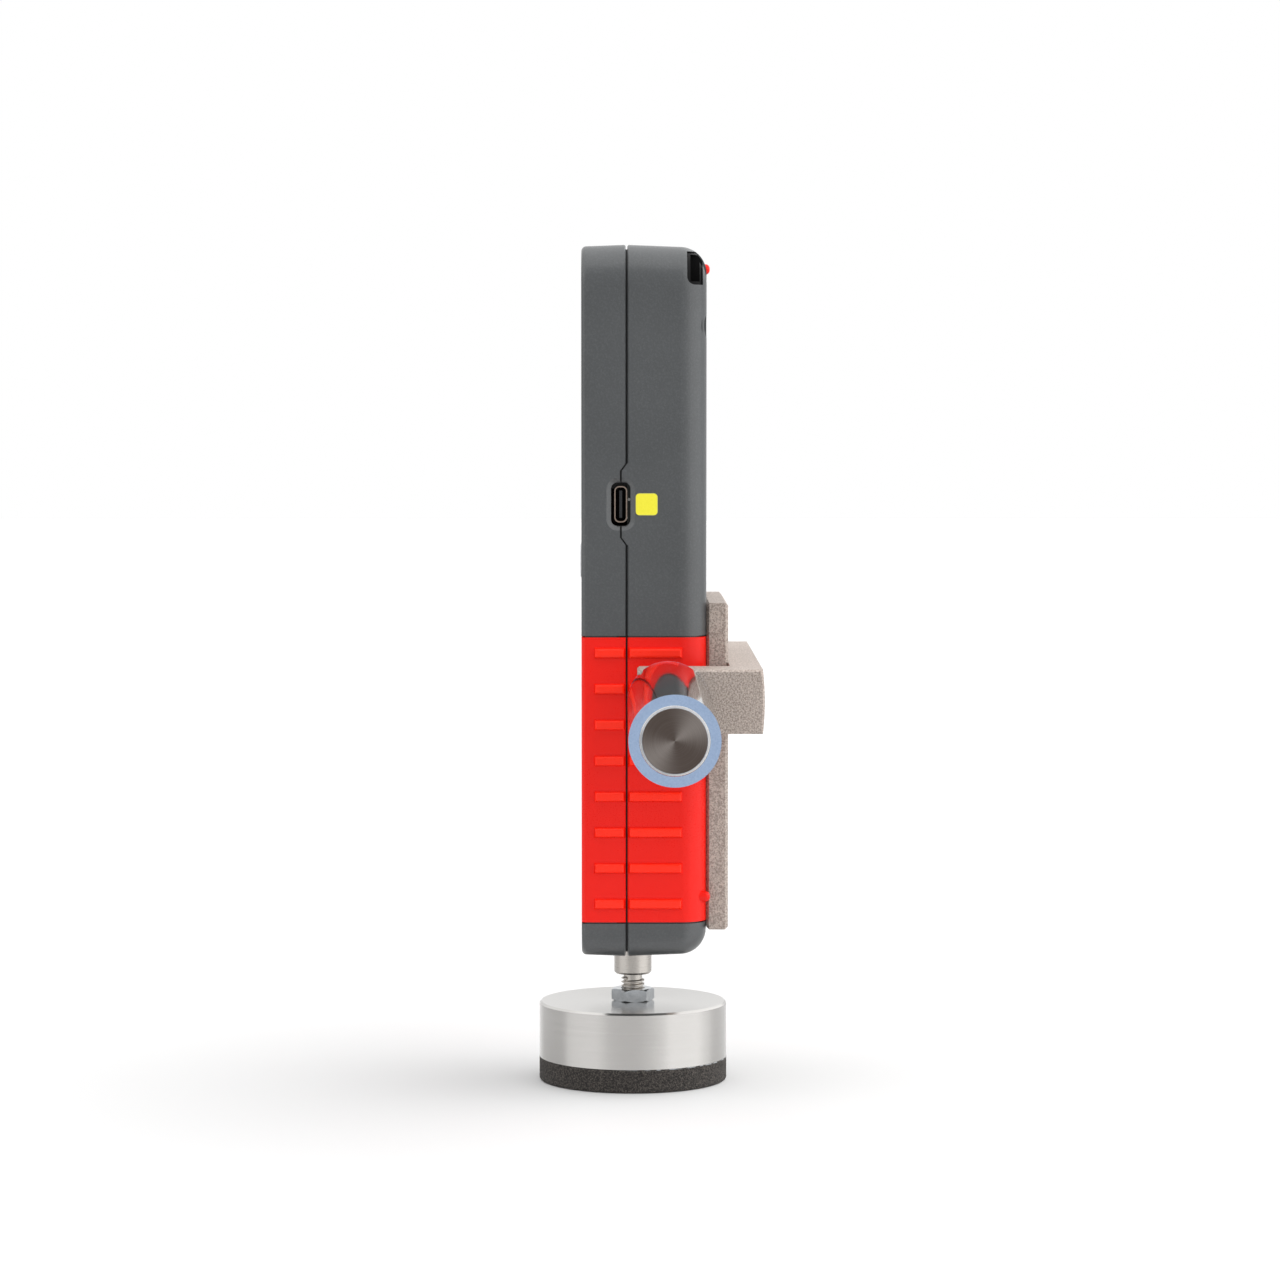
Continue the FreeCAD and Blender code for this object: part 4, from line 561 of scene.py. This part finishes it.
finishes = {
    "pad_foam": foam("fine_black_foam"),
    "turned_steel": turned("turned_bright_steel", tone(194, 192, 189), tone(219, 217, 214), 0.17),
    "blasted_steel": blasted("blasted_steel", tone(140, 128, 120), tone(208, 195, 186)),
    "dark_steel": plated("zinc_plated_steel", tone(150, 154, 159), tone(216, 220, 224), 0.15),
    "alloy": plated("machined_alloy", tone(188, 190, 194), tone(220, 222, 226), 0.35),
    "grey_plastic": housing("grey_housing_plastic", tone(52, 55, 57), tone(78, 81, 83)),
    # The grip's third colour is the painted highlight on the rib crowns.
    "red_grip": ribbed_rubber("red_grip_rubber", tone(228, 17, 4), tone(240, 24, 8), tone(254, 42, 18)),
    "black_plastic": moulded("black_plastic", tone(9, 9, 10), tone(22, 21, 22), 0.22, 0.4, 0.006),
    "window": window_glass("tinted_window"),
    "display": panel_face("display_panel_face"),
    "white_plastic": moulded("white_plug_plastic", tone(214, 212, 204), tone(230, 228, 220), 0.4, 0.3, 0.004),
    "board": circuit_board("green_board"),
    "battery_wrap": wrap_film("blue_shrink_film"),
    "yellow_film": tag_film("plain_yellow_film"),
    "clear_tube": clear_tube("clear_drawn_tube"),
    "key_plastic": moulded("grey_key_rubber", tone(188, 190, 192), tone(206, 208, 210), 0.5, 0.25, 0.006),
    "red_key": moulded("red_key_rubber", tone(214, 30, 22), tone(232, 44, 34), 0.5, 0.25, 0.006),
}
bar_steel = rod_steel("bright_round_bar")
eyelet_lining = moulded("matt_black_lining", tone(5, 5, 6), tone(17, 16, 17), 0.5, 0.4, 0.006, shine=0.12)
shaft_steel = turned("turned_shaft_steel", tone(180, 175, 169), tone(216, 211, 205), 0.24)
own_finish = {
    "usb_tongue": gold_tongue("tongue_with_contacts"),
    "usb_shell": socket_metal("nickel_socket_sheet"),
    "handle_rod_right": bar_steel,
    "handle_rod_left": bar_steel,
    "measuring_shaft": shaft_steel,
    "strap_eyelet_left": eyelet_lining,
    "strap_eyelet_right": eyelet_lining,
}
slot_of = {part["node"]: part["material_slot"] for part in frame["record"]["subparts"]}
for name, cad_node in nodes.items():
    cad_node.data.materials.clear()
    cad_node.data.materials.append(own_finish.get(name) or finishes[slot_of[name]])


# New pieces


def piece(name, form, finish, body, sharp, replaced=()):
    """Turns a finished bmesh into an object at the origin that rides on a body."""
    bmesh.ops.remove_doubles(form, verts=form.verts, dist=1e-7)
    bmesh.ops.recalc_face_normals(form, faces=form.faces)
    mesh = bpy.data.meshes.new(name)
    form.to_mesh(mesh)
    form.free()
    mesh.polygons.foreach_set("use_smooth", [True] * len(mesh.polygons))
    mesh.set_sharp_from_angle(angle=math.radians(sharp))
    mesh.materials.append(finish)
    made = bpy.data.objects.new(name, mesh)
    bpy.context.scene.collection.objects.link(made)
    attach(made, body)
    if replaced:
        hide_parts(*replaced)
    return made


def chain(form, points):
    """Vertices joined by edges, from points in millimetres."""
    corners = [form.verts.new(Vector(point) * MM) for point in points]
    edges = [form.edges.new(pair) for pair in zip(corners, corners[1:])]
    return corners + edges


def spun(form, outline, steps):
    """Turns a chain of (radius, height) points fully round the measuring axis."""
    geometry = chain(form, [(radius, 0.0, height) for radius, height in outline])
    bmesh.ops.spin(
        form, geom=geometry, cent=(0, 0, 0), axis=(0, 0, 1), angle=math.tau, steps=steps,
        use_merge=True, use_normal_flip=False, use_duplicate=False,
    )


def even_points(start, end, count):
    """Evenly spaced points from start on, which stop one short of end."""
    return [tuple(a + (b - a) * i / count for a, b in zip(start, end)) for i in range(count)]


def stud_piece():
    """Stud with its rolled thread, which stops short of the shaft in a plain neck."""
    pitch, core, crest, chamfer, neck = 1.0, 2.4, 3.0, 0.4, 1.1
    low, high = span("threaded_stud")[2]
    form = bmesh.new()
    spun(form, [
        (0, low), (core - chamfer, low), (core, low + chamfer),
        (core, high - chamfer), (core - chamfer, high), (0, high),
    ], 48)
    start, runs_to, steps = low + pitch, span("measuring_shaft")[2][0] - neck, 36
    turns = (runs_to - start) / pitch
    flank = [(core - 0.1, -0.44), (crest, -0.12), (crest, 0.12), (core - 0.1, 0.44)]
    corners = [form.verts.new(Vector((radius, 0, start + height * pitch)) * MM) for radius, height in flank]
    ridge = form.faces.new(corners)
    bmesh.ops.spin(
        form, geom=[ridge, *ridge.edges, *corners], cent=(0, 0, 0), axis=(0, 0, 1),
        dvec=(0, 0, pitch / steps * MM), angle=math.tau * turns, steps=round(turns * steps),
        use_merge=False, use_normal_flip=False, use_duplicate=False,
    )
    open_edges = [edge for edge in form.edges if edge.is_boundary]
    if open_edges:
        bmesh.ops.holes_fill(form, edges=open_edges, sides=4)
    piece("threaded_stud_detail", form, shaft_steel, "tester", 40, ("threaded_stud",))


def pad_piece():
    """Foam pad: cut cells and a slight wave on its side, and a round lower edge."""
    (_, outer), _, (_, top) = span("press_pad")
    radius, edge, arc_steps = outer - 0.02, 0.7, 6
    outline = [(0, 0)] + even_points((6, 0), (radius - edge, 0), 8)
    for step in range(arc_steps + 1):
        turn = math.pi / 2 * step / arc_steps
        outline.append((radius - edge + edge * math.sin(turn), edge - edge * math.cos(turn)))
    outline += even_points((radius, edge + 0.3), (radius, top - 0.25), 14)
    outline += [(radius, top - 0.2), (radius - 0.15, top), (radius - 3, top), (radius - 12, top), (0, top)]
    form = bmesh.new()
    spun(form, outline, 420)
    rim_from, full_depth_from = radius - 2, 0.6
    for vert in form.verts:
        outwards = Vector((vert.co.x, vert.co.y, 0))
        if outwards.length < rim_from * MM:
            continue
        spot = vert.co / MM
        cell = noise.voronoi(spot * 1.5, distance_metric="DISTANCE", exponent=2.5)[0][0]
        pit = max(0.0, 0.42 - cell) * 0.5 + (noise.noise(spot * 2.6) + 0.5) * 0.06
        wave = (noise.noise(spot * 0.12) + 1) * 0.05
        share = min(1.0, vert.co.z / (full_depth_from * MM))
        vert.co -= outwards.normalized() * (max(0.0, pit) * share + wave) * MM
    made = piece("foam_pad", form, finishes["pad_foam"], "tester", 60, ("press_pad",))


def stroke(form, start, end, width, level, thickness):
    """A flat printed bar on the front, from start to end in (x, z), half as wide at its ends."""
    start, end = Vector(start), Vector(end)
    along = end - start
    bar = bmesh.ops.create_circle(form, cap_ends=True, segments=6, radius=width / 2 * MM)["verts"]
    longer = max(0.0, along.length - width) / 2 * MM
    for vert in bar:
        if abs(vert.co.x) > 1e-9:
            vert.co.x += math.copysign(longer, vert.co.x)
    centre = (start + end) / 2
    turn = Matrix.Rotation(-math.atan2(along.y, along.x), 4, "Y") @ Matrix.Rotation(math.pi / 2, 4, "X")
    lift = Matrix.Translation(Vector((centre.x, level, centre.y)) * MM)
    bmesh.ops.transform(form, matrix=lift @ turn, verts=bar)
    thickened(form, bar, thickness)


def thickened(form, verts, thickness):
    """Gives flat faces on the front a thickness towards -Y."""
    faces = list({face for vert in verts for face in vert.link_faces})
    grown = bmesh.ops.extrude_face_region(form, geom=faces)["geom"]
    moved = [item for item in grown if isinstance(item, bmesh.types.BMVert)]
    bmesh.ops.translate(form, verts=moved, vec=(0, -thickness * MM, 0))


def ring(form, centre, radius, width, level, thickness, start=0.0, end=math.tau, squeeze=1.0):
    """A flat printed ring, or part of one, on the front; squeeze narrows it across."""
    arc = bmesh.new()
    row = chain(arc, [(radius - width / 2, 0, 0), (radius + width / 2, 0, 0)])
    whole = abs(end - start) > math.tau - 1e-6
    bmesh.ops.rotate(arc, verts=row[:2], cent=(0, 0, 0), matrix=Matrix.Rotation(-start, 3, "Y"))
    bmesh.ops.spin(
        arc, geom=row, cent=(0, 0, 0), axis=(0, -1, 0), angle=end - start, steps=40,
        use_merge=whole, use_normal_flip=False, use_duplicate=False,
    )
    bmesh.ops.scale(arc, vec=(squeeze, 1, 1), verts=arc.verts)
    bmesh.ops.translate(arc, vec=Vector((centre[0], level, centre[1])) * MM, verts=arc.verts)
    thickened(arc, list(arc.verts), thickness)
    mesh = bpy.data.meshes.new("ring")
    arc.to_mesh(mesh)
    arc.free()
    form.from_mesh(mesh)
    bpy.data.meshes.remove(mesh)


# The six lit bars of a nought, as (across, up) ends in half widths from its middle
NOUGHT = [
    ((-1, 2), (1, 2)),
    ((-1, 2), (-1, 0)),
    ((1, 2), (1, 0)),
    ((-1, 0), (-1, -2)),
    ((1, 0), (1, -2)),
    ((-1, -2), (1, -2)),
]


def display_digits():
    """Two noughts with a point between them, and a row of scale marks below."""
    form = bmesh.new()
    level = span("display_panel")[1][0]
    ink, bar, line, half = 0.05, 1.3, 0.35, 3.6
    digits_at, point_at = PANE_LEVEL + 2.5, PANE_LEVEL - 4.7
    for centre in (-7.0, 6.5):
        for bar_ends in NOUGHT:
            start, end = [Vector((centre + across * half, digits_at + up * half)) for across, up in bar_ends]
            inset = (end - start).normalized() * 0.75
            stroke(form, start + inset, end - inset, bar, level, ink)
    stroke(form, (-0.95, point_at), (0.45, point_at), bar, level, ink)
    scale_at, mark_pitch, marks = PANE_LEVEL - 15.0, 1.6, 21
    scale_half = mark_pitch * (marks - 1) / 2
    for mark in range(marks):
        length = 2.4 if mark % 5 == 0 else 1.3
        across, foot = mark * mark_pitch - scale_half, scale_at + 0.4
        stroke(form, (across, foot), (across, foot + length), line, level, ink)
    stroke(form, (-scale_half - 0.4, scale_at), (scale_half + 0.4, scale_at), line, level, ink)
    piece("display_digits", form, printed("dark_display_ink", tone(22, 26, 26)), "tester", 30)


def key_signs():
    """A plain sign on each key: ring and bar, nought, peak, and two ways."""
    pale = printed("white_key_ink", tone(236, 236, 232))
    dark = printed("dark_key_ink", tone(40, 42, 46))
    ink, line = 0.04, 0.4
    for name in ("power", "zero", "peak", "unit"):
        key_x, (level, _), key_z = span(f"{name}_key")
        across, up = middle(key_x), middle(key_z)
        form = bmesh.new()
        if name == "power":
            gap_from, gap_to = math.radians(120), math.radians(420)
            ring(form, (across, up - 0.2), 1.7, line, level, ink, gap_from, gap_to)
            stroke(form, (across, up), (across, up + 2.2), line, level, ink)
        elif name == "zero":
            ring(form, (across, up), 2.0, 0.45, level, ink, squeeze=0.66)
        elif name == "peak":
            for side in (-1, 1):
                stroke(form, (across + side * 2.2, up - 1.3), (across, up + 1.7), 0.42, level, ink)
        else:
            for side in (-1, 1):
                height = up + side * 0.8
                stroke(form, (across - 2, height), (across + 2, height), line, level, ink)
                tip, barb = (across + side * 2, height), (across + side * 1.1, height + 0.8)
                stroke(form, tip, barb, line, level, ink)
        shade, slot = (pale, "red_key") if name == "power" else (dark, "key_plastic")
        piece(f"{name}_key_sign", form, shade, f"{name}_button", 30)


stud_piece()
pad_piece()
display_digits()
key_signs()


# Floor, light and camera

# Brightness of the room level with the object and above it, by direction in degrees:
# 0 is +X, the camera's side, and 90 is +Y, the side of the mounting plate
SIDE_LIGHT = [
    (-180, 0.95), (-160, 0.85), (-140, 0.55), (-100, 0.5), (-85, 0.9), (-50, 0.98), (-38, 0.85), (-24, 0.66),
    (0, 0.6), (13, 0.68), (28, 0.85), (43, 1.15), (51, 1.5), (77, 1.5), (90, 1.25), (98, 1.05), (110, 0.85),
    (124, 0.6), (142, 0.65), (180, 0.95),
]
UPPER_LIGHT = [
    (-180, 1.0), (-120, 1.1), (-80, 1.7), (-45, 1.2), (-20, 0.7), (0, 0.6), (20, 0.9), (45, 2.4), (80, 3.5),
    (110, 3.8), (145, 2.0), (180, 1.0),
]
TOP_LIGHT = 2.4

# The brightest that polished and clear pieces show of the room
MIRRORED_MOST = 1.3

# The floor's shade, how far it reaches towards the camera, and its half size, in metres
FLOOR_SHARE = 0.61
FLOOR_FRONT = 0.45
FLOOR_HALF = 3.0

# How much of the floor polished pieces see past
FLOOR_UNSEEN = 0.7


def studio_world():
    """White to the camera; to the object a room dim by the camera and bright behind the plate and above."""
    world = bpy.data.worlds.new("studio")
    bpy.context.scene.world = world
    f = Finish(world)
    x, y, z = f.axes(f.add("TexCoord", out="Generated"))
    around = y.bearing(x) * (180 / math.pi)
    side = f.levels(around, -180, 180, SIDE_LIGHT)
    upper = f.levels(around, -180, 180, UPPER_LIGHT)
    above, overhead = z.ramp(0.12, 0.42), z.ramp(0.75, 0.97)
    walls = side * (1 - above) + upper * above
    level = walls * (1 - overhead) + overhead * TOP_LIGHT
    seen = f.add("LightPath", out="Is Camera Ray")
    mirrored = f.add("LightPath", out="Is Glossy Ray").most(f.add("LightPath", out="Is Transmission Ray"))
    level = level - (level - level.least(MIRRORED_MOST)) * mirrored
    strength = f.between(seen, level, 1.0)
    f.done(f.add("Background", None, {"Color": (1.0, 1.0, 1.0, 1.0), "Strength": strength}))


def studio_floor():
    """Plain white floor that ends short of the camera and keeps the object's shadow."""
    form = bmesh.new()
    bmesh.ops.create_grid(form, x_segments=1, y_segments=1, size=FLOOR_HALF)
    bmesh.ops.translate(form, verts=form.verts, vec=(FLOOR_FRONT - FLOOR_HALF, 0, 0))
    mesh = bpy.data.meshes.new("floor")
    form.to_mesh(mesh)
    form.free()
    f = new_finish("white_floor")
    colour = (FLOOR_SHARE, FLOOR_SHARE, FLOOR_SHARE, 1.0)
    matt = f.surface({"Base Color": colour, "Roughness": 0.9, "Specular IOR Level": 0.0})
    unseen = f.add("LightPath", out="Is Glossy Ray") * FLOOR_UNSEEN
    clear = f.add("BsdfTransparent")
    mesh.materials.append(f.done(f.add("MixShader", None, {0: unseen, 1: matt, 2: clear})))
    floor = bpy.data.objects.new("floor", mesh)
    bpy.context.scene.collection.objects.link(floor)


def studio_camera():
    """Level with the object's upper half, on the socket's side, looking slightly down."""
    pitch, turn = math.radians(3.27), math.radians(0.3)
    lens = bpy.data.cameras.new("camera")
    lens.lens = 108.45
    lens.sensor_width = 36.0
    lens.clip_start, lens.clip_end = 0.05, 20.0
    eye = bpy.data.objects.new("camera", lens)
    eye.location = (0.98419, -0.00333, 0.16905)
    eye.rotation_euler = (math.pi / 2 - pitch, 0, math.pi / 2 - turn)
    bpy.context.scene.collection.objects.link(eye)
    bpy.context.scene.camera = eye


studio_world()
studio_floor()
studio_camera()
bpy.context.scene.view_settings.view_transform = "Standard"
